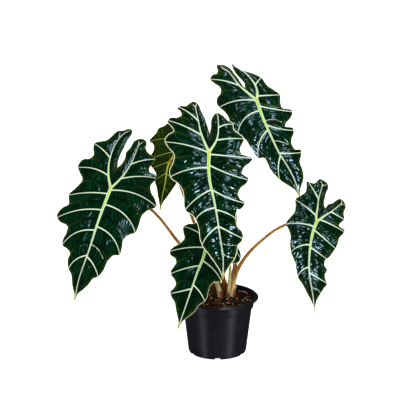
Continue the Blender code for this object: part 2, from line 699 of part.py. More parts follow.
def petiole_radii(leaf, places, soil_place, length):
    """Thin in the soil, widest just above it, and tapering to the blade."""
    share = np.clip((places - soil_place) / (length - soil_place), 0.0, 1.0)
    above = PETIOLE_TOP_RADIUS + (leaf.petiole_radius - PETIOLE_TOP_RADIUS) * (1.0 - share) ** 2
    return np.where(places < soil_place, STEM_FOOT_RADIUS, above)


def make_petiole(leaf, route, material):
    knots = chord_lengths(route)
    soil_place = SOIL_TOP + CLEARANCE - (SOIL_TOP - STEM_DEPTH)
    above = soil_place + STEM_SWELL
    count = max(8, int((knots[-1] - above) / PETIOLE_SPACING))
    body = np.linspace(above, knots[-1] - APPROACH, count)
    end = [knots[-1] - APPROACH / 4, knots[-1]]
    places = np.concatenate([[0.0, soil_place - CLEARANCE], body, end])
    centres = smooth_path(route, places)
    centres[:2, :2] = route[0, :2]
    radii = petiole_radii(leaf, places, soil_place, knots[-1])
    curve = bpy.data.curves.new(leaf.name + "_petiole", "CURVE")
    curve.dimensions = "3D"
    curve.bevel_depth = MM
    curve.bevel_resolution = 2
    curve.use_fill_caps = True
    spline = curve.splines.new("POLY")
    spline.points.add(len(centres) - 1)
    for point, centre, radius in zip(spline.points, centres, radii):
        point.co = (*(centre * MM), 1.0)
        point.radius = radius
    petiole = bpy.data.objects.new(leaf.name + "_petiole", curve)
    bpy.context.scene.collection.objects.link(petiole)
    curve.materials.append(material)
    return petiole


def make_sheath(name, leaf, route, facing, height, material):
    """A strip of a tube round the petiole's foot, narrowing and leaning out as it rises."""
    rise = np.linspace(0.0, 1.0, SHEATH_POINTS)
    places = STEM_DEPTH + 2 * CLEARANCE + rise * height
    centres = smooth_path(route, places)
    radius = petiole_radii(leaf, places, 0.0, chord_lengths(route)[-1]).max() + SHEATH_GAP
    spread = SHEATH_SPREAD * (1.0 - rise ** 2 * (1.0 - SHEATH_TIP_SHARE))
    angle = np.radians(facing + np.linspace(-1, 1, SHEATH_POINTS) * spread[:, None])
    ring = np.stack([np.cos(angle), np.sin(angle), np.zeros_like(angle)], axis=-1)
    points = centres[:, None, :] + ring * (radius + SHEATH_FLARE * rise[:, None, None] ** 2)
    points[0, :, 2] = SOIL_TOP + SHEATH_WALL / 2 + CLEARANCE
    faces = []
    for level in range(SHEATH_POINTS - 1):
        for column in range(SHEATH_POINTS - 1):
            a = level * SHEATH_POINTS + column
            faces.append((a, a + 1, a + SHEATH_POINTS + 1, a + SHEATH_POINTS))
    sheath = make_object(name, points.reshape(-1, 3), faces, material)
    tidy_mesh(sheath)
    wall = sheath.modifiers.new("Wall", "SOLIDIFY")
    wall.thickness = SHEATH_WALL * MM
    wall.offset = 0.0
    apply_modifiers(sheath)
    tidy_mesh(sheath)
    shade(sheath)
    return sheath


# Pot and soil

def turned(name, profile, sides, material):
    """Spins a profile of (radius, height) points round the pot's axis into a closed body."""
    edit = bmesh.new()
    points = [edit.verts.new((radius * MM, 0.0, height * MM)) for radius, height in profile]
    edges = [edit.edges.new(pair) for pair in zip(points, points[1:])]
    bmesh.ops.spin(edit, geom=points + edges, axis=(0, 0, 1), cent=(0, 0, 0), steps=sides,
                   angle=2 * pi, use_merge=True)
    mesh = bpy.data.meshes.new(name)
    edit.to_mesh(mesh)
    edit.free()
    mesh.materials.append(material)
    obj = bpy.data.objects.new(name, mesh)
    bpy.context.scene.collection.objects.link(obj)
    tidy_mesh(obj, merge=1e-5)
    return obj


def pot_inner(height):
    """The radius of the pot's inside at a height."""
    collar_foot = POT_HEIGHT - COLLAR_DROP
    heights = (FLOOR_TOP, collar_foot - COLLAR_STEP, collar_foot + COLLAR_STEP,
               POT_HEIGHT - LIP_HEIGHT)
    radii = (WALL_FOOT_RADIUS - POT_WALL, WALL_TOP_RADIUS - POT_WALL,
             COLLAR_FOOT_RADIUS - POT_WALL, COLLAR_TOP_RADIUS - POT_WALL)
    return float(np.interp(height, heights, radii))


def make_pot(material):
    """Up the outside from the foot, over the lip and down the inside to the floor."""
    collar_foot = POT_HEIGHT - COLLAR_DROP
    lip_foot = POT_HEIGHT - LIP_HEIGHT
    profile = [
        (0.0, 0.0),
        (PAD_RADIUS, 0.0),
        (PAD_RADIUS + FOOT_RECESS, FOOT_RECESS),
        (FOOT_RADIUS - FOOT_WIDTH - FOOT_RECESS, FOOT_RECESS),
        (FOOT_RADIUS - FOOT_WIDTH, 0.0),
        (FOOT_RADIUS, 0.0),
        (FOOT_RADIUS + CORNER_BULGE, EDGE_ROUND),
        (WALL_FOOT_RADIUS, CORNER_HEIGHT),
        (WALL_TOP_RADIUS, collar_foot - COLLAR_STEP),
        (COLLAR_FOOT_RADIUS, collar_foot),
        (COLLAR_TOP_RADIUS, lip_foot - EDGE_ROUND),
        (COLLAR_TOP_RADIUS + EDGE_ROUND, lip_foot),
        (LIP_RADIUS - EDGE_ROUND, lip_foot),
        (LIP_RADIUS, lip_foot + EDGE_ROUND),
        (LIP_RADIUS, POT_HEIGHT - EDGE_ROUND),
        (LIP_RADIUS - EDGE_ROUND, POT_HEIGHT),
        (COLLAR_TOP_RADIUS + EDGE_ROUND / 2, POT_HEIGHT),
        (COLLAR_TOP_RADIUS - POT_WALL, POT_HEIGHT - EDGE_ROUND),
        (pot_inner(lip_foot), lip_foot),
        (pot_inner(collar_foot + COLLAR_STEP), collar_foot + COLLAR_STEP),
        (pot_inner(collar_foot - COLLAR_STEP), collar_foot - COLLAR_STEP),
        (pot_inner(FLOOR_TOP), FLOOR_TOP + EDGE_ROUND),
        (pot_inner(FLOOR_TOP) - EDGE_ROUND, FLOOR_TOP),
        (0.0, FLOOR_TOP),
    ]
    pot = turned("pot", profile, POT_SIDES, material)
    cutters = []
    for index in range(DRAIN_COUNT):
        turn = 2 * pi * index / DRAIN_COUNT - pi / 2
        cutters.append(drain_notch(turn))
        cutters.append(drain_hole(turn + pi / DRAIN_COUNT))
    combine(pot, cutters, "DIFFERENCE")
    tidy_mesh(pot, merge=2e-6)
    shade(pot)
    return pot


def drain_notch(turn):
    """A low slot through the foot ring, open to the outside at the pot's corner."""
    bpy.ops.mesh.primitive_cube_add(size=1.0)
    notch = bpy.context.object
    notch.scale = (DRAIN_LENGTH * MM, DRAIN_WIDTH * MM, 2 * DRAIN_TOP * MM)
    notch.location = (FOOT_RADIUS * cos(turn) * MM, FOOT_RADIUS * sin(turn) * MM, 0.0)
    notch.rotation_euler = Euler((0, 0, turn))
    bake_place(notch)
    return notch


def drain_hole(turn):
    bpy.ops.mesh.primitive_cylinder_add(vertices=12, radius=DRAIN_HOLE_RADIUS * MM,
                                        depth=4 * FLOOR_TOP * MM)
    hole = bpy.context.object
    hole.location = (DRAIN_HOLE_RING * cos(turn) * MM, DRAIN_HOLE_RING * sin(turn) * MM, 0.0)
    bake_place(hole)
    return hole


def bake_place(obj):
    """Moves an object's place, turn and scale into its mesh."""
    bpy.context.view_layer.update()
    obj.data.transform(obj.matrix_world)
    obj.matrix_world.identity()


def make_chip(rng):
    """A bark chip: a block with its corners moved, half sunk in the soil outside the crown."""
    place = np.array(CROWN_CENTRE)
    while np.linalg.norm(place - CROWN_CENTRE) < CROWN_RADIUS:
        turn = rng.uniform(0.0, 2 * pi)
        reach = (pot_inner(SOIL_TOP) - CHIP_MARGIN) * np.sqrt(rng.random())
        place = reach * np.array([cos(turn), sin(turn)])
    bpy.ops.mesh.primitive_cube_add(size=1.0)
    chip = bpy.context.object
    for vertex in chip.data.vertices:
        vertex.co *= Vector(rng.uniform(0.75, 1.15, 3))
    chip.scale = Vector(CHIP_SIZE) * rng.uniform(0.6, 1.0) * MM
    tilt = rng.uniform(-CHIP_TILT, CHIP_TILT, 2)
    chip.rotation_euler = Euler((*tilt, rng.uniform(0.0, 2 * pi)))
    chip.location = (place[0] * MM, place[1] * MM, (SOIL_TOP + CHIP_LIFT) * MM)
    bake_place(chip)
    return chip


def make_soil(material):
    """Fills the pot just inside its wall; its top is uneven outside the crown of stems."""
    rng = np.random.default_rng(11)
    collar_foot = POT_HEIGHT - COLLAR_DROP
    bottom = FLOOR_TOP + CLEARANCE
    profile = [(0.0, bottom), (pot_inner(FLOOR_TOP) - 2 * EDGE_ROUND, bottom)]
    for height in (bottom + 2 * EDGE_ROUND, collar_foot - COLLAR_STEP,
                   collar_foot + 2 * COLLAR_STEP, SOIL_TOP - EDGE_ROUND):
        profile.append((pot_inner(height) - 1.5 * CLEARANCE, height))
    for radius in (pot_inner(SOIL_TOP) - 1.5 * EDGE_ROUND, *SOIL_RINGS):
        profile.append((radius, SOIL_TOP))
    soil = turned("soil", profile, SOIL_SIDES, material)
    crown = np.linalg.norm(CROWN_CENTRE) + CROWN_RADIUS
    for vertex in soil.data.vertices:
        if vertex.co.z > (SOIL_TOP - SOIL_BUMP) * MM and vertex.co.xy.length > crown * MM:
            vertex.co.z += rng.uniform(-1.0, 1.0) * SOIL_BUMP * MM
    combine(soil, [make_chip(rng) for _ in range(CHIP_COUNT)], "UNION")
    combine(soil, [stem_hole(leaf) for leaf in LEAVES], "DIFFERENCE")
    tidy_mesh(soil, merge=2e-6)
    shade(soil, 30)
    return soil


def stem_hole(leaf):
    depth = STEM_DEPTH + CLEARANCE
    bpy.ops.mesh.primitive_cylinder_add(vertices=12, radius=(STEM_FOOT_RADIUS + HOLE_CLEARANCE) * MM,
                                        depth=2 * depth * MM)
    hole = bpy.context.object
    hole.location = (leaf.petiole[0][0] * MM, leaf.petiole[0][1] * MM, SOIL_TOP * MM)
    bake_place(hole)
    return hole


def main():
    clear_scene()
    green = make_material("leaf green", DARK_GREEN, 0.28)
    under = make_material("leaf underside", UNDERSIDE_GREEN, 0.5)
    pale = make_material("pale veins", PALE_VEIN, 0.4)
    under_vein = make_material("underside veins", UNDERSIDE_VEIN, 0.45)
    tan = make_material("tan petiole", TAN_PETIOLE, 0.4)
    young = make_material("young petiole", YOUNG_PETIOLE, 0.4)
    red = make_material("red sheath", RED_SHEATH, 0.6)
    make_pot(make_material("black plastic", BLACK_PLASTIC, 0.42))
    make_soil(make_material("dark soil", DARK_SOIL, 0.95))
    routes = {}
    for leaf in LEAVES:
        form = LeafForm(leaf)
        blade = make_blade(leaf, form, under if leaf.underside else green)
        tree = blade_tree(blade)
        veins = make_veins(leaf, form, tree, under_vein if leaf.underside else pale)
        routes[leaf.name] = petiole_route(leaf, form, blade_tree(veins) if leaf.underside else tree)
        make_petiole(leaf, routes[leaf.name], young if leaf is YOUNG_LEAF else tan)
    for name, leaf, facing, height in SHEATHS:
        make_sheath(name, leaf, routes[leaf.name], facing, height, red)


if __name__ == "__main__":
    main()
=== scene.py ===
"""Potted alocasia: seven glossy arrow-shaped leaves on tan petioles, in a black nursery pot.

Laid out as a Blender add-on and run as a script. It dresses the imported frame: fine leaves, petioles,
sheaths, soil and pot take the place of the plain solids. Tables and shape sizes are in millimetres and
are scaled by MM where a mesh is made. The plant faces -Y, and +Z is up.
"""
from dataclasses import dataclass
from math import cos, pi, radians, sin, tau

import bpy
import numpy as np
from bpy.props import FloatProperty, FloatVectorProperty, IntProperty, PointerProperty
from bpy.types import Operator, Panel, PropertyGroup
from mathutils import Euler, Matrix, Vector


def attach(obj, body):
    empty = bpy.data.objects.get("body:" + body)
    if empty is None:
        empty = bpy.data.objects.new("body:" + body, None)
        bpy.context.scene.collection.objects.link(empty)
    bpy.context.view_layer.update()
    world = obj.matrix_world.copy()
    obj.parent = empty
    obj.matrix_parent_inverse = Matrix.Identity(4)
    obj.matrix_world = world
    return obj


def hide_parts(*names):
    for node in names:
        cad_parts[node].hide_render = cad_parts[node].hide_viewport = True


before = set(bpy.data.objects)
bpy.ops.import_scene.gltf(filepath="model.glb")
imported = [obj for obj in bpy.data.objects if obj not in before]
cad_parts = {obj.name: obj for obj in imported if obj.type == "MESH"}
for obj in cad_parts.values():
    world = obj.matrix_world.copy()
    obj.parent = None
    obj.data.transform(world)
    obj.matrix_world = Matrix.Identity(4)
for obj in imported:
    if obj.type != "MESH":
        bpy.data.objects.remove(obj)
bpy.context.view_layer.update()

bl_info = {
    "name": "Potted Alocasia",
    "version": (1, 0, 0),
    "blender": (4, 5, 0),
    "location": "3D View > Sidebar > Alocasia",
    "description": "Makes the leaves, petioles, sheaths, soil, pot and stage of a potted alocasia",
    "category": "Object",
}

MM = 0.001
BODY = "root"

# Forms shared with the plain solids, so the fine pieces lie where those do
ARCH = 0.045
LOBE_EASE = 0.6
FOLD = 2.2
DROOP = 2.5
QUILT = 1.3
WAVE = 2.0
WAVE_FULL_WIDTH = 28.0
NOTCH_RELIEF = 0.3
FRONT = (0.0, -0.966, 0.259)
PETIOLE_TOP_RADIUS = 1.9
APPROACH = 7.0
STEM_DEPTH = 14.0
STEM_FOOT_RADIUS = 2.4
SOIL_TOP = 80.0

# Pot and soil sizes, as in the plain solids
POT_HEIGHT = 86.0
LIP_RADIUS = 60.0
LIP_HEIGHT = 4.8
COLLAR_TOP_RADIUS = 54.5
COLLAR_FOOT_RADIUS = 52.7
COLLAR_DROP = 17.0
COLLAR_STEP = 1.0
EDGE_ROUND = 1.0
WALL_TOP_RADIUS = 50.3
WALL_FOOT_RADIUS = 42.6
FOOT_RADIUS = 40.0
FOOT_WIDTH = 4.0
FOOT_RECESS = 1.5
PAD_RADIUS = 15.0
CORNER_HEIGHT = 3.5
CORNER_BULGE = 1.8
POT_WALL = 1.4
FLOOR_TOP = 3.1
DRAIN_COUNT = 6
DRAIN_WIDTH = 8.0
DRAIN_LENGTH = 9.0
DRAIN_HOLE_RADIUS = 3.5
DRAIN_HOLE_RING = 26.0
CROWN_CENTRE = (10.0, 8.5)

# Finer sizes of the pot
POT_SIDES = 192
CORNER_CUT = 0.9
MOST_CUT = 0.45
LIP_ROUND = 2.8
LIP_UNDERCUT = 1.6
COLLAR_UNDERCUT = 1.2
DRAIN_TOP = 4.6
DRAIN_HOLE_SIDES = 24
SHARP_EDGE = 38.0

# Finer sizes of the soil. Its waves are their count, the longest and the shortest
SOIL_SEED = 5
SOIL_SIDES = 160
SOIL_RINGS = 60
SOIL_BOTTOM_GAP = 0.3
SOIL_WALL_GAP = 0.45
SOIL_EDGE_GAP = 0.6
SOIL_CORNER = 2.0
SOIL_SHOULDER = 1.5
SOIL_EDGE_FADE = 4.0
LUMP_HEIGHT = 0.9
LUMP_WAVES = (14, 17.0, 7.0)
CRUMB_HEIGHT = 0.5
CRUMB_WAVES = (30, 4.2, 1.9)
CROWN_RISE = 0.8
CROWN_FADE = (22.0, 8.0)

# Bark chips. The three sides of a chip are the least, and what chance adds
BARK_SEED = 11
BARK_MARGIN = 2.6
CHIP_RINGS = 6
CHIP_SIDES = 8
CHIP_SQUARENESS = 0.45
CHIP_ROUGHNESS = (0.72, 1.18)
CHIP_LENGTH = (1.0, 2.2)
CHIP_WIDTH = (0.8, 0.9)
CHIP_HEIGHT = (0.5, 0.5)
CHIP_SCALE = (0.65, 1.15)
SHORT_CHIPS = 1.6
USUAL_CHIP = 3.0
CHIP_TIP = 0.45
CHIP_LIFT = (-0.2, 1.2)

# Fine leaves: their mesh
RIM_SAMPLES = 1200
DENSITY_SAMPLES = 120
FASTEST_RIM = 2.4
EVEN_ROWS = 52.0
RIB_ROWS = 50.0
RIB_ROWS_REACH = 0.05
RIM_ROWS = 60.0
RIM_ROWS_REACH = 0.03
VEIN_ROOT_REACH = 3.0
LEAST_WIDTH = 1e-6
WELD = 1e-4

# Fine leaves: ribs and veins
FULL_LEAF_LENGTH = 130.0
LEAST_RIB_SCALE = 0.55
MIDRIB_HALF = 2.5
MIDRIB_END_HALF = 0.6
LOBE_RIB_HALF = 1.9
LOBE_RIB_END_HALF = 0.6
RIB_TAPER = 1.7
RIB_PIECE = 5.0
LEAST_RIB_POINTS = 6
VEIN_HALF = 1.0
VEIN_END_HALF = 0.38
VEIN_POINTS = 10
FORK_HALF = 0.55
FORK_END_HALF = 0.35
RIDGE_FOOT = 1.35
RIB_RISE = 1.3
VEIN_RISE = 0.6
UPPER_SHARE = 0.35
UNDER_SHARE = 0.8
RIB_PALING = {"leaf_low": 0.5, "leaf_right": 0.7, "leaf_top": 0.8}

# Fine leaves: blade, seams, margin and drip tip
BLADE_WALL = 0.7
INNER_PANELS = (0.34, 0.58, 0.8)
SEAM_HALF = 0.9
SEAM_DEPTH = 0.25
MARGIN_CLOSING = 24
END_CLOSING = 3.0
# Painted highlight along the margin, by leaf: how much of the pale line covers the margin's own colour
PAINTED_RIM_HIGHLIGHT = {"leaf_centre": 1.0, "leaf_low": 0.35, "leaf_young": 0.3}
DRIP_LENGTH = 9.0
DRIP_REACH = 2.8
DRIP_HALF = 0.75

# Fine leaves: relief of the panels, by leaf where leaves differ
FULLNESS_ACROSS = 0.8
FULLNESS_OUT = 0.8
RELIEF_SHARES = {"leaf_left": 0.7, "leaf_low": 0.65, "leaf_right": 1.5}
RELIEF_SIZES = {"leaf_left": 0.8, "leaf_low": 0.85, "leaf_centre": 1.1}
LEAST_HEIGHT = 0.2
PILLOW_LENGTH = 2.6
PILLOW_BEND = 0.4
PILLOW_RIM_SHARE = 0.35
RUNG_SLANT = 1.1
RUNG_START = {"leaf_left": 0.0, "leaf_low": 0.0, "leaf_top": 0.5, "leaf_right": 0.65}
LATE_RUNG_START = 0.6
LOBE_RELIEF = 0.12
TOP_RELIEF = 0.35

# Where relief fades. Each pair is the place where it is gone and the place where it is full
PANEL_FADE = (3.0, 14.0)
WIDTH_FADE = (4.0, 20.0)
NOTCH_FADE = (0.0, 6.0)
VEIN_FADE = (-0.2, 1.8)
RIB_FADE = (-0.2, 2.5)
SEAM_FADE = (0.15, 0.6)
END_FADE = (0.0, 0.1)
PILLOW_ROOT_FADE = (0.0, 0.05)
PILLOW_FAR_FADE = (0.9, 0.5)
PILLOW_RIM_FADE = (1.0, 0.9)
RUNG_ROOT_FADE = (0.0, 0.35)
RUNG_SEAM_FADE = (1.0, 0.75)
RUNG_RIM_FADE = (1.0, 0.85)
RUNG_BLEND = (-0.02, 0.2)
LOBE_FADE = (-12.0, 14.0)
TOP_FADES = {"leaf_top": (-25.0, 50.0), "leaf_centre": (-30.0, 20.0)}

# Petioles
PETIOLE_RING_SPACING = 1.6
PETIOLE_SIDES = 28
PETIOLE_TAPER = 1.2
FOOT_FADE = (-3.0, 2.0)
GROOVE_HALF = 0.55
GROOVE_FADE = (0.15, 0.5)
FLUTE_COUNT = 9
FLUTE_DEPTH = 0.05
WAVER_COUNT = 4
WAVER_DEPTH = 0.04
WAVER_LENGTH = 31.0
SWELL_DEPTH = 0.10
SWELL_LENGTH = 17.0
SWELL_START = 20.0

# Sheaths. A crinkle is a wave's depth, its turns across and its turns up the strip
SHEATH_ROWS = 40
SHEATH_COLUMNS = 25
SHEATH_START = 0.6
SHEATH_WALL = 0.45
SHEATH_GAP = 0.75
SHEATH_SPREAD = 42.0
SHEATH_TIP_SHARE = 0.08
SHEATH_FLARE = 1.2
SHEATH_TWIST = 5.0
SHEATH_TWIST_TURNS = 7.0
CRINKLES = ((0.18, 9.0, 5.0), (0.12, 23.0, -8.0))
CRINKLE_FADE = (0.0, 0.3)

# Colours on a leaf. Each pair is the place where a colour starts and the place where it is full
VEIN_COLOUR = (0.35, -0.3)
RIB_COLOUR = (0.3, -0.25)
RIB_CORE = (-0.55, -1.5)
RIB_ENDS = (0.1, 0.9)
MARGIN_COLOUR = (0.95, 0.35)
JOINT_COLOUR = (3.6, 0.6)
TIP_COLOUR = (9.0, 2.0)
SEAM_COLOUR = (2.2, 0.0)
SEAM_OUT = (0.3, 0.95)
SEAM_STRENGTH = 0.35
RIM_COLOUR = (5.0, 0.8)
RIM_STRENGTH = 0.25
# Painted light on the crests of the leaves' relief, against painted shade in its hollows
PAINTED_CREST_STRENGTH = 1.6
NET_WANDER = 0.24

# Camera: place in millimetres, degrees below level, and lens and sensor
CAMERA_PLACE = (-25.6, -2086.3, 784.1)
CAMERA_DIP = 14.9
CAMERA_LENS = 135.3
CAMERA_SENSOR = 36.0

# Floor and overhead light, in metres and degrees
FLOOR_RINGS = (0.0, 1.0, 9.0)
FLOOR_SIDES = 96
OVERHEAD_PLACE = (0.1, -0.3, 2.0)
OVERHEAD_SPREAD = 110.0


@dataclass
class Softbox:
    """A rectangle of light: the setting of its power, its turn from the camera's side and its rise
    above level, its size, the group of pieces that it falls on if not on all, whether it shows in
    gloss alone, its share of the power, its distance and its target's height. Sizes are in metres."""
    name: str
    power: str
    turn: float
    rise: float
    size: tuple
    group: str = ""
    gloss_alone: bool = False
    share: float = 1.0
    reach: float = 2.2
    target: float = 0.2


SOFTBOXES = (
    Softbox("left strip", "left_power", -50.0, 4.0, (0.26, 0.28), "pot light", reach=1.3, target=0.06),
    Softbox("right strip", "right_power", 46.0, 4.0, (0.28, 0.28), "pot light", reach=1.3, target=0.06),
    Softbox("centre box", "leaf_power", 4.0, 13.0, (1.2, 0.2), "centre light", True, share=0.7),
    Softbox("right box", "leaf_power", 22.0, 12.0, (2.0, 0.2), "right light", True),
    Softbox("high box", "high_power", 22.0, 62.0, (0.8, 0.28)),
)

# The group of the low softbox that shows in a leaf's gloss
LEAF_LIGHTS = {"leaf_centre": "centre light", "leaf_top": "right light",
               "leaf_right": "right light", "leaf_young": "right light"}


@dataclass
class Half:
    """One half of a blade. Points are (distance out from the midrib, distance along towards the tip)."""
    lobe_rib: tuple
    rim: tuple
    veins: tuple


@dataclass
class Leaf:
    """A blade hangs in the plane of its joint, its tip and its facing. The midrib's points and the
    notch are (across to the right, along). A vein is (place on the rib, end out, end along, bow),
    where a place below nought lies up the lobe's rib."""
    name: str
    joint: tuple
    tip: tuple
    facing: tuple
    notch: tuple
    midrib: tuple
    left: Half
    right: Half
    petiole: tuple
    petiole_radius: float
    underside: bool = False


LEFT_LEAF = Leaf(
    name="leaf_left",
    joint=(-154, 5, 245), tip=(-200, -95, 111), facing=(-0.35, -1, 0.3),
    notch=(0, -34),
    midrib=((0, 0), (-2, 45), (-2, 100), (-3, 150), (0, 173)),
    left=Half(
        lobe_rib=((0, 0), (10, -20), (16, -47), (12, -80), (8, -88)),
        rim=((2, -43), (2, -53), (0, -66), (-2, -80), (-5, -90), (-3, -97), (3, -98), (10, -94),
             (18, -92), (25, -82), (30, -75), (40, -71), (48, -67), (47, -58), (43, -47), (48, -41),
             (56, -39), (61, -25), (56, -18), (47, -6), (53, 8), (60, 21), (57, 28), (55, 34),
             (63, 42), (67, 56), (60, 63), (45, 69), (44, 78), (46, 90), (44, 98), (35, 102),
             (29, 107), (29, 118), (24, 131), (17, 139), (10, 155), (3, 167)),
        veins=((-50, 48, -66, 2), (-21, 61, -24, 5), (9, 60, 21, 3), (35, 66, 58, 6),
               (67, 44, 97, 9), (106, 24, 131, 5))),
    right=Half(
        lobe_rib=((0, 0), (10, -17), (18, -42), (20, -62), (21, -76)),
        rim=((5, -44), (6, -53), (5, -59), (9, -68), (12, -80), (20, -85), (28, -84), (32, -79),
             (33, -71), (37, -66), (45, -61), (52, -57), (51, -49), (48, -41), (50, -35), (60, -32),
             (62, -24), (58, -14), (62, -4), (71, 6), (76, 17), (66, 24), (60, 32), (59, 50),
             (57, 61), (50, 65), (44, 72), (45, 88), (44, 98), (36, 100), (31, 108), (28, 125),
             (23, 135), (17, 139), (13, 149), (8, 157), (2, 165)),
        veins=((-46, 52, -56, 2), (-20, 62, -27, 3), (3, 76, 17, 8), (26, 57, 61, 9),
               (61, 44, 97, 8), (108, 23, 135, 3))),
    petiole=((-2.5, 11.5, 78), (-4, 12, 88), (-25, 14, 122), (-56, 14, 160), (-98, 14, 212),
             (-132, 18, 232), (-147, 16, 240)),
    petiole_radius=3.4)

BACK_LEAF = Leaf(
    name="leaf_back",
    joint=(-69.5, 68, 271), tip=(-85.5, 94, 189), facing=(0.25, -1, -0.3),
    notch=(8, -25),
    midrib=((0, 0), (-2, 10), (-2, 20), (-1, 36), (-1, 65), (0, 87)),
    left=Half(
        lobe_rib=((0, 0), (-5, -16), (-6, -34), (-4, -52), (0, -60)),
        rim=((-8, -34), (-9, -44), (-9, -56), (-5, -66), (2, -69), (9, -67), (15, -63), (20, -58),
             (27, -54), (29, -46), (33, -40), (37, -32), (30, -26), (28, -18), (30, -10), (33, -1),
             (30, 8), (23, 16), (17, 26), (17, 37), (12, 50), (9, 60), (5, 72), (2, 81)),
        veins=((-36, 36, -31, 4), (-17, 33, -1, 1), (2, 24, 15, 1), (22, 17, 36, 1))),
    right=Half(
        lobe_rib=((0, 0), (12, -14), (22, -30), (30, -44)),
        rim=((12, -34), (18, -43), (24, -51), (31, -52), (37, -46), (38, -36), (35, -28), (38, -20),
             (43, -12), (38, -4), (33, 2), (34, 10), (36, 18), (29, 24), (22, 30), (17, 40),
             (13, 50), (8, 62), (3, 73), (1, 81)),
        veins=((-20, 43, -12, 0), (3, 36, 17, 2), (24, 18, 38, 1))),
    petiole=((4, 16.5, 78), (3.5, 17.5, 90), (-10, 20, 135), (-34, 24, 188), (-50, 32, 229),
             (-57, 42, 246), (-60.5, 48, 262), (-64.5, 54, 270)),
    petiole_radius=3.2,
    underside=True)

CENTRE_LEAF = Leaf(
    name="leaf_centre",
    joint=(-13, -45, 310), tip=(6, -110, 149), facing=(-0.05, -1, 0.3),
    notch=(4, -29),
    midrib=((0, 0), (-3, 22), (-3.5, 42), (-1.5, 60), (0.5, 82), (2, 120), (3, 150), (0, 175)),
    left=Half(
        lobe_rib=((0, 0), (5, -15), (9, -33), (10, -46), (12, -66)),
        rim=((-2, -40), (0, -50), (4, -60), (7, -70), (13, -75), (20, -73), (25, -70), (33, -71),
             (38, -68), (34, -62), (33, -58), (40, -55), (48, -56), (54, -51), (49, -43), (46, -36),
             (54, -32), (60, -25), (57, -15), (49, -1), (52, 9), (58, 20), (57, 30), (48, 39),
             (43, 48), (42, 60), (43, 72), (41, 79), (33, 85), (28, 95), (26, 108), (26, 120),
             (24, 128), (15, 144), (5, 163)),
        veins=((-47, 36, -69, 2), (-26, 53, -52, 2), (1, 60, -22, 3), (22, 57, 28, 4),
               (53, 42, 77, 3), (79, 29, 92, 4), (105, 24, 128, 3))),
    right=Half(
        lobe_rib=((0, 0), (7, -8), (13, -17), (17, -33), (18, -47)),
        rim=((6, -36), (7, -43), (10, -50), (17, -55), (24, -51), (31, -43), (38, -36), (38, -29),
             (44, -22), (51, -13), (48, -6), (44, 1), (46, 8), (52, 11), (60, 16), (55, 22),
             (46, 28), (43, 35), (47, 39), (51, 43), (47, 50), (38, 56), (34, 63), (36, 70),
             (42, 76), (38, 83), (29, 88), (27, 96), (28, 108), (33, 115), (34, 124), (31, 130),
             (26, 134), (23, 143), (19, 152), (12, 160), (5, 169)),
        veins=((-38, 38, -35, 2), (-20, 51, -13, 1), (3, 59, 16, 0), (18, 50, 45, -2),
               (53, 42, 77, -2), (82, 27, 97, 2), (105, 34, 126, 0))),
    petiole=((10.5, 10, 78), (10, 9, 92), (7, 6, 122), (2, 3, 160), (-4, 0, 210), (-9, -5, 255),
             (-12, -16, 288), (-12, -30, 303)),
    petiole_radius=3.3)

TOP_LEAF = Leaf(
    name="leaf_top",
    joint=(55, 20, 371), tip=(115, -30, 245), facing=(0.2, -1, 0.3),
    notch=(-8, -23),
    midrib=((0, 0), (-2.5, 25), (-3, 60), (-2.5, 82), (0, 100), (2, 122), (1, 138), (-1, 148)),
    left=Half(
        lobe_rib=((0, 0), (7, -14), (14, -29), (17, -42), (20, -54), (26, -62)),
        rim=((10, -30), (11, -40), (13, -47), (15, -56), (20, -64), (26, -68), (32, -69), (34, -61),
             (37, -58), (42, -59), (49, -54), (46, -46), (41, -37), (44, -29), (51, -25), (55, -17),
             (54, -11), (50, -3), (48, 8), (51, 20), (50, 29), (46, 36), (39, 46), (37, 60),
             (35, 72), (33, 78), (25, 81), (24, 90), (24, 100), (20, 112), (17, 119), (10, 130),
             (4, 139)),
        veins=((-32, 49, -54, 2), (1, 54, -11, 5), (16, 46, 35, 8), (46, 33, 78, 6),
               (87, 17, 118, 3))),
    right=Half(
        lobe_rib=((0, 0), (5, -8), (7.5, -22), (5, -34), (0, -46), (-7, -56)),
        rim=((-6, -29), (-7, -34), (-10, -42), (-12, -51), (-12, -58), (-10.5, -63), (-7, -57),
             (-1, -49), (6, -43), (13, -37), (20.5, -28), (24, -13), (30, -4), (35, 6), (31, 15),
             (30, 25), (35, 29), (41, 32), (39, 39), (32, 44), (24, 48), (22, 51), (26, 54),
             (31, 56), (30, 64), (23, 71), (20, 78), (22, 87), (29, 90), (26, 98), (20, 106),
             (19, 117), (15, 130), (7, 139)),
        veins=((-23, 20, -28, 0), (-6, 35, 6, 0), (9, 40, 35, -1), (38, 31, 61, -2),
               (83, 28, 94, -1))),
    petiole=((18.5, 14, 78), (20.5, 14, 94), (25.5, 15, 127), (26.5, 16, 165), (25, 17, 217),
             (29, 20, 290), (38, 26, 335), (50, 31, 360)),
    petiole_radius=3.4)

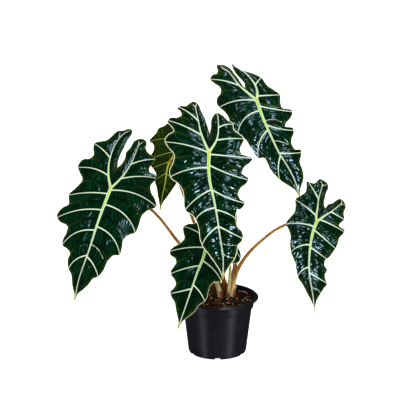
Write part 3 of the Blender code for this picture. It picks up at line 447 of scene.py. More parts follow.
RIGHT_LEAF = Leaf(
    name="leaf_right",
    joint=(143, 5, 195), tip=(138, -40, 74), facing=(0.3, -1, 0.3),
    notch=(13, -21),
    midrib=((0, 0), (-4, 10), (-8, 28), (-10, 50), (-10, 65), (-8, 82), (-4, 100), (-1, 115),
            (0, 130)),
    left=Half(
        lobe_rib=((0, 0), (1, -8), (-1, -20), (-2, -33), (-5, -44), (-8, -55)),
        rim=((-11, -27), (-12, -34), (-14, -43), (-17, -50), (-16, -57), (-10, -61), (-3, -63),
             (2, -58), (5, -56), (11, -57), (16, -58), (17, -50), (18, -43), (25, -37), (33, -31),
             (33, -22), (34, -13), (40, -5), (47, 6), (43, 13), (40, 21), (40, 35), (38, 46),
             (32, 60), (29, 71), (26, 82), (20, 90), (12, 103), (4, 116), (1, 123)),
        veins=((-34, 14, -58, 0), (-9, 33, -30, 1), (8, 47, 6, 3), (35, 38, 46, 4),
               (67, 26, 80, 3))),
    right=Half(
        lobe_rib=((0, 0), (10, -8), (22, -16), (38, -29)),
        rim=((18, -27), (24, -29), (29, -33), (36, -36), (42, -32), (45, -25), (42, -16), (43, -5),
             (38, -1), (35, 3), (38, 7), (44, 9), (42, 15), (36, 21), (34, 28), (30, 38), (26, 43),
             (21, 50), (15, 55), (14, 62), (18, 68), (15, 76), (17, 84), (19, 89), (14, 96),
             (9, 104), (4, 113), (2, 121)),
        veins=((-27, 43, -6, 0), (-6, 43, 12, 1), (12, 30, 37, 0), (38, 17, 53, 0),
               (75, 19, 88, 0))),
    petiole=((22, 6, 78), (22.5, 6, 92), (28, 6, 119), (46, 5, 149), (65, 5, 168), (84, 6, 183),
             (101, 8, 191), (124, 13, 197), (136, 14, 198)),
    petiole_radius=3.3)

LOW_LEAF = Leaf(
    name="leaf_low",
    joint=(-17, -45, 172), tip=(-56, -100, 71), facing=(-0.2, -1, 0.3),
    notch=(1, -24),
    midrib=((0, 0), (1, 12), (0, 40), (0, 75), (0, 105), (0, 121)),
    left=Half(
        lobe_rib=((0, 0), (7, -14), (11, -28), (12, -42)),
        rim=((1, -33), (4, -43), (9, -50), (15, -50), (20, -43), (22, -35), (27, -28), (35, -25),
             (41, -18), (38, -10), (34, -3), (38, 6), (45, 14), (48, 22), (44, 27), (37, 29),
             (34, 33), (35, 40), (37, 48), (34, 54), (28, 58), (24, 64), (26, 72), (28, 76),
             (24, 83), (17, 89), (12, 98), (6, 108), (2, 115)),
        veins=((-15, 41, -19, 2), (1, 48, 22, 3), (28, 36, 52, 2), (63, 27, 79, 0))),
    right=Half(
        lobe_rib=((0, 0), (8, -12), (13, -24), (16, -34)),
        rim=((4, -31), (8, -37), (13, -42), (19, -41), (24, -36), (27, -30), (33, -27), (38, -20),
             (35, -13), (31, -6), (33, 1), (37, 8), (34, 15), (31, 21), (33, 30), (37, 38), (35, 42),
             (27, 45), (24, 52), (24, 60), (25, 70), (23, 76), (18, 82), (15, 92), (9, 102),
             (3, 112)),
        veins=((-15, 38, -21, 2), (1, 37, 8, 2), (20, 37, 40, 3), (57, 24, 75, 2))),
    petiole=((4, 4, 78), (3, 3.5, 88), (-1, 0, 104), (-8, -8, 130), (-14, -22, 152),
             (-16, -33, 164)),
    petiole_radius=3.9)

YOUNG_LEAF = Leaf(
    name="leaf_young",
    joint=(16, -10, 197), tip=(7, -24, 134), facing=(0.3, -1, 0.3),
    notch=(0, -7),
    midrib=((0, 0), (0, 32), (0, 65)),
    left=Half(
        lobe_rib=((0, 0), (5, -6), (8, -12)),
        rim=((3, -13), (8, -18), (13, -16), (16, -8), (16, 3), (18, 14), (17, 26), (15, 36),
             (12, 46), (7, 56)),
        veins=((8, 18, 14, 1), (27, 15, 36, 1))),
    right=Half(
        lobe_rib=((0, 0), (4, -5), (6, -9)),
        rim=((3, -10), (6, -14), (9, -11), (10, -3), (11, 6), (15, 18), (18, 31), (24, 41),
             (25, 49), (22, 55), (14, 57), (7, 59)),
        veins=((8, 14, 15, 1), (27, 25, 49, 2))),
    petiole=((16, 2.5, 78), (16.5, 1.5, 92), (18, 1, 127), (17, 3, 165), (15, 3, 186)),
    petiole_radius=2.6)

LEAVES = (LEFT_LEAF, BACK_LEAF, CENTRE_LEAF, TOP_LEAF, RIGHT_LEAF, LOW_LEAF, YOUNG_LEAF)

# A sheath wraps part of a petiole's foot: the leaf, the direction it faces in degrees, its height
SHEATHS = (
    ("sheath_low", LOW_LEAF, -45, 15.0),
    ("sheath_centre", CENTRE_LEAF, -20, 30.0),
    ("sheath_young", YOUNG_LEAF, -95, 12.0),
    ("sheath_right", RIGHT_LEAF, -40, 18.0),
)


def unit(vectors):
    """Vectors scaled to a length of 1."""
    return vectors / np.linalg.norm(vectors, axis=-1, keepdims=True)


def chord_lengths(points):
    """The running length along straight lines through the points."""
    steps = np.linalg.norm(np.diff(points, axis=0), axis=1)
    return np.concatenate([[0.0], np.cumsum(steps)])


def smooth_path(points, distance):
    """Cubic pieces through the points, read at distances along their straight chords."""
    points = np.asarray(points, float)
    knots = chord_lengths(points)
    slopes = np.gradient(points, knots, axis=0)
    distance = np.clip(distance, 0.0, knots[-1])
    piece = np.clip(np.searchsorted(knots, distance, side="right") - 1, 0, len(knots) - 2)
    length = (knots[piece + 1] - knots[piece])[..., None]
    share = (distance - knots[piece])[..., None] / length
    ease = share * share * (3.0 - 2.0 * share)
    leave = share * (1.0 - share) ** 2 * length * slopes[piece]
    arrive = share * share * (share - 1.0) * length * slopes[piece + 1]
    return points[piece] * (1.0 - ease) + points[piece + 1] * ease + leave + arrive


# Leaf form

class HalfForm:
    """A blade's half as a surface of two parameters.

    The first is a walk along the ribs: from the joint up the lobe's rib, back down it, and on along
    the midrib to the tip. The second runs from the rib, 0, to the margin, 1.
    """

    def __init__(self, leaf, side):
        half = leaf.right if side > 0 else leaf.left
        turn = np.array([side, 1.0])
        self.side = side
        self.lobe_rib = np.array(half.lobe_rib, float) * turn
        self.midrib = np.array(leaf.midrib, float)
        ends = np.array([leaf.notch, leaf.midrib[-1]], float)
        self.rim = np.vstack([ends[:1], np.array(half.rim, float) * turn, ends[1:]])
        self.lobe_length = chord_lengths(self.lobe_rib)[-1]
        self.length = 2 * self.lobe_length + chord_lengths(self.midrib)[-1]
        self.rim_length = chord_lengths(self.rim)[-1]
        self.vein_walks = [2 * self.lobe_length + vein[0] for vein in half.veins]
        vein_ends = [np.array(vein[1:3]) * turn for vein in half.veins]
        ends_on_rim = [self.rim_place(point) for point in [self.lobe_rib[-1], *vein_ends]]
        self.anchor_walk = np.array([0.0, self.lobe_length, *self.vein_walks, self.length])
        self.anchor_rim = np.array([0.0, *ends_on_rim, self.rim_length])
        self.anchor_bow = np.array([0.0, 0.0, *[vein[3] for vein in half.veins], 0.0])

    def rim_place(self, point):
        """The distance along the margin of its nearest place to a point."""
        distance = np.linspace(0.0, self.rim_length, RIM_SAMPLES)
        gap = np.linalg.norm(smooth_path(self.rim, distance) - point, axis=1)
        return distance[np.argmin(gap)]

    def rim_speed(self, walk):
        """How far the margin's end moves for each millimetre of walk, and at least that far."""
        speeds = np.diff(self.anchor_rim) / np.diff(self.anchor_walk)
        panel = np.searchsorted(self.anchor_walk, walk, side="right") - 1
        return np.clip(speeds[np.clip(panel, 0, len(speeds) - 1)], 1.0, FASTEST_RIM)

    def rim_gap(self, walk, flat):
        """Distance from a point to the margin's tangent at the same walk."""
        place = np.interp(walk, self.anchor_walk, self.anchor_rim)
        step = 0.5
        ahead = smooth_path(self.rim, place + step)
        behind = smooth_path(self.rim, place - step)
        tangent = unit(ahead - behind)
        gap = flat - smooth_path(self.rim, place)
        return np.abs(gap[..., 0] * tangent[..., 1] - gap[..., 1] * tangent[..., 0])

    def rib(self, walk):
        """The place on the lobe's rib or on the midrib."""
        on_lobe = np.where(walk < self.lobe_length, walk, 2 * self.lobe_length - walk)
        lobe = smooth_path(self.lobe_rib, on_lobe)
        mid = smooth_path(self.midrib, walk - 2 * self.lobe_length)
        return np.where((walk < 2 * self.lobe_length)[..., None], lobe, mid)

    def flat(self, walk, out):
        """Straight from rib to margin, with each vein's bow added towards the lobe."""
        start = self.rib(walk)
        end = smooth_path(self.rim, np.interp(walk, self.anchor_walk, self.anchor_rim))
        reach = end - start
        width = np.linalg.norm(reach, axis=-1)
        bow = np.interp(walk, self.anchor_walk, self.anchor_bow)
        across = np.stack([reach[..., 1], -reach[..., 0]], axis=-1) * self.side
        across = across / np.maximum(width, LEAST_WIDTH)[..., None]
        bend = (bow * 4.0 * out * (1.0 - out))[..., None]
        return start + reach * out[..., None] + across * bend, width

    def relief(self, walk, out, width):
        """Height of the fold beside the rib, the quilting between veins and the margin's wave."""
        panel = np.clip(np.searchsorted(self.anchor_walk, walk, side="right") - 1, 0,
                        len(self.anchor_walk) - 2)
        first = self.anchor_walk[panel]
        phase = (walk - first) / (self.anchor_walk[panel + 1] - first)
        full = np.clip(width / WAVE_FULL_WIDTH, 0.0, 1.0)
        full = full * np.interp(walk, [0.0, self.lobe_length], [NOTCH_RELIEF, 1.0])
        rise = np.sin(pi * out) ** 2
        fold = FOLD * rise - DROOP * out ** 2
        quilt = QUILT * np.sin(pi * phase) ** 2 * rise
        wave = -WAVE * np.cos(2 * pi * phase) * out ** 3
        return (fold + quilt + wave) * full


class LeafForm:
    """Puts a blade's flat form and relief into space."""

    def __init__(self, leaf):
        self.leaf = leaf
        self.joint = np.array(leaf.joint, float)
        reach = np.array(leaf.tip, float) - self.joint
        self.length = np.linalg.norm(reach)
        self.along = reach / self.length
        facing = np.array(leaf.facing, float)
        self.facing = unit(facing - self.along * facing.dot(self.along))
        self.across = np.cross(self.facing, self.along)
        front = np.array(FRONT)
        self.raise_by = front / front.dot(self.facing)
        self.face = -1.0 if leaf.underside else 1.0
        self.halves = {side: HalfForm(leaf, side) for side in (-1, 1)}

    def arch(self, flat):
        """A parabola from joint to tip, easing off up the lobes."""
        share = flat[..., 1] / self.length
        bend = np.where(share > 0, 1.0 - share, 1.0 + LOBE_EASE * share)
        return ARCH * self.length * 4.0 * share * bend

    def put(self, flat, height):
        """Flat places and heights over the flat blade, put into space."""
        return (self.joint + flat[..., :1] * self.across + flat[..., 1:] * self.along
                + (height * self.face)[..., None] * self.raise_by)

    def point(self, side, walk, out):
        """The middle sheet's place in space, without the fine relief."""
        half = self.halves[side]
        flat, width = half.flat(walk, out)
        return self.put(flat, self.arch(flat) + half.relief(walk, out, width))

    def normal(self, side, walk, out, step=0.5):
        """From the surface's slopes along and out from the rib, turned to the shown face."""
        nudge = 0.02
        inward = np.clip(out, nudge, 1.0 - nudge)
        down = self.point(side, walk + step, inward) - self.point(side, walk - step, inward)
        outward = self.point(side, walk, inward + nudge) - self.point(side, walk, inward - nudge)
        normal = unit(np.cross(down, outward))
        return normal * np.sign(normal @ self.facing)[..., None]


# Fine veins beyond the plain solids' net, as points on the flat blade: (across to the right, along)
FINE_VEINS = {
    "leaf_left": (
        ((-12, -80), (-14, -90)), ((-8, -88), (-5, -91), (0, -95)),
        ((21, -75), (19, -80)), ((21, -75), (27, -81)),
        ((-2, 89), (6, 91), (13, 96), (19, 102), (23, 107))),
    "leaf_back": (((-4, -52), (-2, -60)), ((30, -44), (34, -50)), ((0, 48), (8, 58))),
    "leaf_centre": (
        ((-12, -66), (-9, -72)), ((-12, -66), (-17, -72)), ((18, -47), (17, -54)),
        ((2, 128), (8, 131), (16, 133), (26, 134)), ((2, 141), (6, 146), (11, 149), (19, 151))),
    "leaf_top": (
        ((-26, -62), (-27, -67)), ((-7, -56), (-11, -60)), ((-3, 33), (4, 33), (12, 36), (20, 43)),
        ((-3, 63), (3, 66), (9, 71), (15, 77))),
    "leaf_right": (
        ((8, -53), (5, -60)), ((8, -53), (14, -55)), ((38, -28), (38, -33)), ((38, -28), (43, -27)),
        ((-5, 95), (0, 96), (5, 98), (9, 102))),
    "leaf_low": (
        ((-12, -42), (-15, -48)), ((16, -34), (19, -40))),
    "leaf_young": (((0, 44), (-6, 49), (-11, 50)),),
}


def spread_places(keep, density):
    """Places from the first kept one to the last. Between two kept places the running sum of the
    density, in places to a millimetre, is cut into equal parts."""
    places = [np.array(keep[:1], float)]
    for first, last in zip(keep, keep[1:]):
        sample = np.linspace(first, last, DENSITY_SAMPLES)
        middle = density((sample[1:] + sample[:-1]) / 2)
        total = np.concatenate([[0.0], np.cumsum(middle * np.diff(sample))])
        marks = np.linspace(0.0, total[-1], max(1, round(total[-1])) + 1)[1:]
        places.append(np.interp(marks, total, sample))
    return np.concatenate(places)


def closeness(places, marks, reach):
    """From 1 at a mark down to 0 at the reach from it."""
    gap = np.abs(np.asarray(places)[..., None] - np.asarray(marks)).min(axis=-1)
    return np.clip(1.0 - gap / reach, 0.0, 1.0)


def blade_rows(count_scale):
    """Shares from rib to margin, closer together beside the rib and at the margin."""
    def density(out):
        at_rib = RIB_ROWS * np.exp(-out / RIB_ROWS_REACH)
        at_rim = RIM_ROWS * np.exp((out - 1.0) / RIM_ROWS_REACH)
        return count_scale * (EVEN_ROWS + at_rib + at_rim)

    return spread_places([0.0, 1.0], density)


def leaf_walks(form, spacing):
    """Each half's places along its ribs. Both halves share the midrib's, and the two sides of a
    lobe's rib share the lobe's, so the blade has no cracks."""
    ends = [half.anchor_walk[half.anchor_walk > 2 * half.lobe_length] - 2 * half.lobe_length
            for half in form.halves.values()]
    midrib_marks = np.unique(np.round(np.concatenate([[0.0], *ends]), 6))
    inside = midrib_marks[:-1]

    def midrib_density(place):
        speed = np.max([half.rim_speed(place + 2 * half.lobe_length)
                        for half in form.halves.values()], axis=0)
        return speed * (1.0 + closeness(place, inside, VEIN_ROOT_REACH)) / spacing

    midrib = spread_places(list(midrib_marks), midrib_density)
    midrib[-1] = chord_lengths(form.halves[1].midrib)[-1]
    walks = {}
    for side, half in form.halves.items():
        turn = half.lobe_length
        on_outer = half.anchor_walk[(half.anchor_walk > turn) & (half.anchor_walk < 2 * turn)]
        lobe_marks = np.array([0.0, *sorted(2 * turn - on_outer), turn])

        def lobe_density(place, half=half, turn=turn, marks=lobe_marks):
            speed = np.maximum(half.rim_speed(place), half.rim_speed(2 * turn - place))
            return speed * (1.0 + closeness(place, marks, VEIN_ROOT_REACH)) / spacing

        lobe = spread_places(list(lobe_marks), lobe_density)
        walks[side] = np.concatenate([lobe, 2 * turn - lobe[-2::-1], 2 * turn + midrib[1:]])
    return walks


def distance_to_line(points, line):
    """The least distance from each point to a line of straight pieces, and the share of the line's
    length there: each piece's nearest point is the foot of the perpendicular, kept on the piece."""
    knots = chord_lengths(line)
    best = np.full(points.shape[:-1], np.inf)
    place = np.zeros_like(best)
    for start, end, begin in zip(line, line[1:], knots):
        piece = end - start
        length = np.linalg.norm(piece)
        along = np.clip((points - start) @ piece / length ** 2, 0.0, 1.0)
        gap = np.linalg.norm(points - start - along[..., None] * piece, axis=-1)
        closer = gap < best
        best = np.where(closer, gap, best)
        place = np.where(closer, begin + along * length, place)
    return best, place / knots[-1]


def rib_distance(form, flat):
    """Distance past the edge of the nearest of the three ribs, that rib's half width, and the share
    of its length."""
    lines = [(form.halves[1].midrib, MIDRIB_HALF, MIDRIB_END_HALF)]
    lines += [(half.lobe_rib, LOBE_RIB_HALF, LOBE_RIB_END_HALF) for half in form.halves.values()]
    best = np.full(flat.shape[:-1], np.inf)
    size = np.ones_like(best)
    place = np.zeros_like(best)
    scale = np.clip(form.length / FULL_LEAF_LENGTH, LEAST_RIB_SCALE, 1.0)
    for points, half_width, end_half in lines:
        length = chord_lengths(points)[-1]
        count = max(LEAST_RIB_POINTS, int(length / RIB_PIECE))
        line = smooth_path(points, np.linspace(0.0, length, count))
        gap, share = distance_to_line(flat, line)
        half = scale * (end_half + (half_width - end_half) * (1.0 - share) ** RIB_TAPER)
        closer = gap - half < best
        size = np.where(closer, half, size)
        place = np.where(closer, share, place)
        best = np.where(closer, gap - half, best)
    return best, size, place


def vein_distance(form, side, flat):
    """Distance past the edge of the nearest side vein or fork, and that vein's half width. A vein
    narrows from its root to the margin."""
    half = form.halves[side]
    scale = np.clip(form.length / FULL_LEAF_LENGTH, LEAST_RIB_SCALE, 1.0)
    reach = np.linspace(0.0, 1.0, VEIN_POINTS)
    lines = [(half.flat(np.full_like(reach, walk), reach)[0], VEIN_HALF, VEIN_END_HALF)
             for walk in half.vein_walks]
    lines += [(np.array(points, float), FORK_HALF, FORK_END_HALF)
              for points in FINE_VEINS[form.leaf.name]]
    best = np.full(flat.shape[:-1], np.inf)
    size = np.ones_like(best)
    for points, half_width, end_half in lines:
        gap, share = distance_to_line(flat, points)
        here = scale * (half_width + (end_half - half_width) * share)
        closer = gap - here < best
        size = np.where(closer, here, size)
        best = np.where(closer, gap - here, best)
    return best, size


def ridge(past_edge, half_width, height):
    """A rounded ridge: (1 - d squared) squared across one and a third half widths, and flat beyond."""
    share = np.clip((past_edge + half_width) / (RIDGE_FOOT * half_width), 0.0, 1.0)
    return height * (1.0 - share ** 2) ** 2


def panel_places(half, walk, out, width):
    """Where each point lies between its two veins: the share across the panel, the panel's number,
    the distance from its seam, the distance out along the vein, and the panel's width there and
    half way out."""
    inner = half.lobe_length * np.array([0.0, *INNER_PANELS])
    marks = np.concatenate([inner, half.anchor_walk[1:]])
    panel = np.clip(np.searchsorted(marks, walk, side="right") - 1, 0, len(marks) - 2)
    phase = (walk - marks[panel]) / (marks[panel + 1] - marks[panel])
    edges = half.flat(*np.meshgrid(marks, out[0], indexing="ij"))[0]
    widths = np.linalg.norm(np.diff(edges, axis=0), axis=-1)
    rows = np.broadcast_to(np.arange(out.shape[1]), out.shape)
    seam = np.abs(phase - 0.5) * widths[panel, rows]
    typical = widths[:, widths.shape[1] // 2]
    return phase, panel, seam, out * width, widths[panel, rows], typical[panel]


def ramp(value, first, last):
    """A smooth step from 0 at the first value to 1 at the last."""
    share = np.clip((value - first) / (last - first), 0.0, 1.0)
    return share * share * (3.0 - 2.0 * share)


def chance(number):
    """A number from 0 to 1 that looks random: what follows the point in a large multiple of a sine.
    Each use has its own multiples of the row, cell and panel, so no two uses go together."""
    wave = np.sin(number * 12.9898) * 43758.5453
    return wave - np.floor(wave)


def pillows(walk, out, reach, phase, panel, counts, spacing):
    """The heights of small long pillows, 0 to 1. They lie in rows that run outwards beside the
    veins, a few rows to a panel. A row is a half wave across, a pillow is a half wave along it,
    with bent ends, and chance sets how high each pillow is, so that no two are alike. The rows
    sway by two waves, a long one that starts by chance in each panel and a short one."""
    sway = 0.5 * np.sin(reach / 8.3 + 6.0 * chance(panel * 3.1))
    sway = sway + 0.25 * np.sin(walk / 2.9 - reach / 4.3)
    across = phase * counts + sway * np.sin(pi * phase)
    row = np.floor(across)
    bend = PILLOW_BEND * (2.0 * (across - row) - 1.0) ** 2
    along = reach / (PILLOW_LENGTH * spacing) + bend + 3.0 * chance(row * 1.7 + panel * 31.3)
    cell = np.floor(along)
    size = LEAST_HEIGHT + (1.0 - LEAST_HEIGHT) * chance(cell * 2.3 + row * 5.1 + panel * 17.7)
    swell = np.sin(pi * across) ** 2 * np.abs(np.sin(pi * along)) ** 0.5
    far = (1.0 - PILLOW_RIM_SHARE) * ramp(out, *PILLOW_FAR_FADE)
    rim = PILLOW_RIM_SHARE * ramp(out, *PILLOW_RIM_FADE)
    return size * swell * (rim + far) * ramp(out, *PILLOW_ROOT_FADE)


def rungs(reach, phase, panel, spacing):
    """The heights of small ridges, 0 to 1, that run across each panel from its veins to its seam
    and slant outwards on the way, with chance setting how high each one is. They sway by two
    waves, as the rows of pillows do, with chance for each side of the seam."""
    from_vein = 1.0 - np.abs(2.0 * phase - 1.0)
    bank = panel * 2.0 + np.floor(2.0 * phase)
    sway = 0.3 * np.sin(reach / 5.7 + 9.0 * chance(bank * 2.3))
    sway = sway + 0.2 * np.sin(from_vein * 4.0 + reach / 3.1)
    along = reach / spacing - RUNG_SLANT * from_vein + sway + 3.0 * chance(bank * 7.7)
    size = LEAST_HEIGHT + (1.0 - LEAST_HEIGHT) * chance(np.floor(along) * 3.7 + bank * 13.1)
    height = size * np.sin(pi * along) ** 2
    return height * ramp(from_vein, *RUNG_ROOT_FADE) * ramp(from_vein, *RUNG_SEAM_FADE)


def fine_relief(name, walk, out, places, looks):
    """Pillows near the ribs, and rungs across the panels further out, or from the rib on."""
    phase, panel, _, reach, _, panel_size = places
    spacing = looks.relief_spacing / MM * RELIEF_SIZES.get(name, 1.0)
    counts = np.maximum(2.0, np.round(panel_size / spacing))
    near = pillows(walk, out, reach, phase, panel, counts, spacing)
    beyond = rungs(reach, phase, panel, spacing) * ramp(out, *RUNG_RIM_FADE)
    start = RUNG_START.get(name, LATE_RUNG_START)
    share = ramp(out, start + RUNG_BLEND[0], start + RUNG_BLEND[1])
    return near + share * (beyond - near)


def relief_kept(name, half, walk):
    """How much of the fine relief is kept, 0 to 1: little on the lobe's inner side, and on some
    leaves less up to the joint than past it."""
    kept = LOBE_RELIEF + (1.0 - LOBE_RELIEF) * ramp(walk - half.lobe_length, *LOBE_FADE)
    if name in TOP_FADES:
        past_joint = walk - 2 * half.lobe_length
        kept = kept * (TOP_RELIEF + (1.0 - TOP_RELIEF) * ramp(past_joint, *TOP_FADES[name]))
    return kept


def fine_half(form, side, walks, rows, looks):
    """One half of a blade: its upper and lower points and its attributes. The height of the middle
    sheet is the plain form's arch and relief, plus a fuller swell between veins, the pillows and
    rungs, and a shallow groove at each panel's seam. The two faces stand half the blade's
    thickness from it, with rounded ridges at ribs and veins, and meet at the margin."""
    name = form.leaf.name
    half = form.halves[side]
    walk, out = np.meshgrid(walks, rows, indexing="ij")
    flat, width = half.flat(walk, out)
    places = panel_places(half, walk, out, width)
    phase, _, seam, _, panel_width, _ = places
    rib_edge, rib_half, rib_share = rib_distance(form, flat)
    vein_edge, vein_half = vein_distance(form, side, flat)
    middle = form.arch(flat) + half.relief(walk, out, width)
    room = ramp(panel_width, *PANEL_FADE) * ramp(width, *WIDTH_FADE) * ramp(walk, *NOTCH_FADE)
    swell = np.abs(np.sin(pi * phase)) ** FULLNESS_ACROSS - np.sin(pi * phase) ** 2
    middle += looks.fullness / MM * swell * np.sin(pi * out ** FULLNESS_OUT) * room
    relief = fine_relief(name, walk, out, places, looks)
    relief *= room * ramp(vein_edge, *VEIN_FADE) * ramp(rib_edge, *RIB_FADE)
    kept = relief_kept(name, half, walk)
    middle += looks.relief_height / MM * relief * kept * RELIEF_SHARES.get(name, 1.0)
    groove = np.exp(-(seam / SEAM_HALF) ** 2) * ramp(out, *SEAM_FADE) * room
    middle -= SEAM_DEPTH * groove
    end_gap = np.minimum(np.abs(walk - half.lobe_length), walks[-1] - walk)
    room_to_end = end_gap + (width - end_gap) * ramp(out, *END_FADE)
    closing = np.sqrt(1.0 - out ** MARGIN_CLOSING)
    closing *= np.sqrt(np.clip(room_to_end / END_CLOSING, 0.0, 1.0))
    shown = np.maximum(ridge(rib_edge, rib_half, RIB_RISE), ridge(vein_edge, vein_half, VEIN_RISE))
    wall = BLADE_WALL / 2 * closing
    upper = middle + wall + shown * closing * (UPPER_SHARE if form.leaf.underside else 1.0)
    lower = middle - wall - shown * closing * (1.0 if form.leaf.underside else UNDER_SHARE)
    tip_gap = np.linalg.norm(flat - half.midrib[-1], axis=-1)
    values = {
        "vein": vein_edge,
        "rib": rib_edge,
        "rib_share": rib_share * RIB_PALING.get(name, 1.0),
        "margin": half.rim_gap(walk, flat),
        "seam": seam,
        "reach_share": out,
        "swell": relief,
        "calm": 1.0 - kept,
        "pale_rim": np.full_like(kept, PAINTED_RIM_HIGHLIGHT.get(name, 0.0)),
        "joint_gap": np.linalg.norm(flat, axis=-1),
        "tip_gap": tip_gap,
    }
    drip = ramp(tip_gap, DRIP_LENGTH, 0.0)
    placed = flat + np.stack([side * DRIP_HALF * drip * out, DRIP_REACH * drip], axis=-1)
    return form.put(placed, upper), form.put(placed, lower), values


def grid_triangles(rows, columns, flip=False):
    """Two triangles for each cell of a grid of points; flip turns them over."""
    index = np.arange(rows * columns).reshape(rows, columns)
    a, b, c, d = (block.ravel() for block in
                  (index[:-1, :-1], index[1:, :-1], index[1:, 1:], index[:-1, 1:]))
    triangles = np.concatenate([np.stack([a, b, c], axis=1), np.stack([a, c, d], axis=1)])
    return triangles[:, ::-1] if flip else triangles


def weld(points, triangles):
    """Joins points at one place, drops triangles that close up or lie back to back, and gives the
    points kept, the triangles kept and which they were."""
    keys = np.round(points / WELD).astype(np.int64)
    first, index = np.unique(keys, axis=0, return_index=True, return_inverse=True)[1:]
    triangles = index.ravel()[triangles]
    open_ones = ((triangles[:, 0] != triangles[:, 1]) & (triangles[:, 1] != triangles[:, 2])
                 & (triangles[:, 2] != triangles[:, 0]))
    edges = np.sort(triangles, axis=1)
    twin, times = np.unique(edges, axis=0, return_inverse=True, return_counts=True)[1:]
    kept = open_ones & (times[twin.ravel()] == 1)
    return first, triangles[kept], kept


def make_piece(name, points, triangles, materials, slots=None, values=None):
    """An object from points in millimetres, its triangles and its points' attributes."""
    first, triangles, kept = weld(points, triangles)
    mesh = bpy.data.meshes.new(name)
    mesh.vertices.add(len(first))
    mesh.vertices.foreach_set("co", (points[first] * MM).astype(np.float32).ravel())
    mesh.loops.add(triangles.size)
    mesh.loops.foreach_set("vertex_index", triangles.astype(np.int32).ravel())
    mesh.polygons.add(len(triangles))
    mesh.polygons.foreach_set("loop_start", np.arange(0, triangles.size, 3, dtype=np.int32))
    if slots is not None:
        mesh.polygons.foreach_set("material_index", slots[kept].astype(np.int32))
    mesh.update(calc_edges=True)
    mesh.validate()
    mesh.shade_smooth()
    for label, numbers in (values or {}).items():
        kind = "FLOAT" if numbers.ndim == 1 else "FLOAT_VECTOR"
        field = "value" if numbers.ndim == 1 else "vector"
        layer = mesh.attributes.new(label, kind, "POINT")
        layer.data.foreach_set(field, numbers[first].astype(np.float32).ravel())
    for material in materials:
        mesh.materials.append(material)
    obj = bpy.data.objects.new(name, mesh)
    bpy.context.scene.collection.objects.link(obj)
    return obj


def make_leaf(leaf, looks, materials):
    """Both halves' two faces, welded at the midrib, at the lobes' ribs and at the margin."""
    form = LeafForm(leaf)
    rows = blade_rows(looks.row_scale)
    points = []
    triangles = []
    slots = []
    values = []
    start = 0
    for side, walks in leaf_walks(form, looks.column_spacing / MM).items():
        upper, lower, numbers = fine_half(form, side, walks, rows, looks)
        for face, sheet in enumerate((upper, lower)):
            flip = (side * form.face < 0) != (face == 1)
            cells = grid_triangles(len(walks), len(rows), flip)
            points.append(sheet.reshape(-1, 3))
            triangles.append(cells + start)
            slots.append(np.full(len(cells), face))
            values.append({label: block.ravel() for label, block in numbers.items()})
            start += sheet[..., 0].size
    joined = {label: np.concatenate([block[label] for block in values]) for label in values[0]}
    return make_piece(leaf.name, np.concatenate(points), np.concatenate(triangles), materials,
                      np.concatenate(slots), joined)


# Petioles and sheaths

def petiole_route(leaf, form):
    """Straight up out of the soil, through the listed points, then square onto the blade's back."""
    foot = np.array(leaf.petiole[0], float)
    bottom = foot * [1, 1, 0] + [0, 0, SOIL_TOP - STEM_DEPTH]
    normal = 0.0
    for side, half in form.halves.items():
        places = 2 * half.lobe_length + np.array([-APPROACH, APPROACH]) / 2
        normal = normal + form.normal(side, places, np.zeros(2)).sum(axis=0)
    away = unit(normal) * form.face * -1.0
    near = form.joint + away * APPROACH
    return np.vstack([bottom, np.array(leaf.petiole, float), near, form.joint + away * 0.1])


def petiole_radii(leaf, places, soil_place, length):
    """Thin in the soil, widest just above it, and tapering to the blade."""
    share = np.clip((places - soil_place) / (length - soil_place), 0.0, 1.0)
    extra = (leaf.petiole_radius - PETIOLE_TOP_RADIUS) * (1.0 - share) ** PETIOLE_TAPER
    above = PETIOLE_TOP_RADIUS + extra
    risen = ramp(places, soil_place + FOOT_FADE[0], soil_place + FOOT_FADE[1])
    return STEM_FOOT_RADIUS + (above - STEM_FOOT_RADIUS) * risen


def carried_frames(centres):
    """Two directions square to a path, turned as little as may be from each place to the next."""
    along = unit(np.gradient(centres, axis=0))
    side = np.zeros_like(along)
    last = np.array([1.0, 0.0, 0.0])
    for place, direction in enumerate(along):
        last = last - direction * last.dot(direction)
        last = last / np.linalg.norm(last)
        side[place] = last
    return side, np.cross(along, side)


def outward_directions(centres, angles):
    """Directions square to a path, at angles round it: cos a * side + sin a * up."""
    side, up = carried_frames(centres)
    return np.cos(angles)[..., None] * side[:, None] + np.sin(angles)[..., None] * up[:, None]


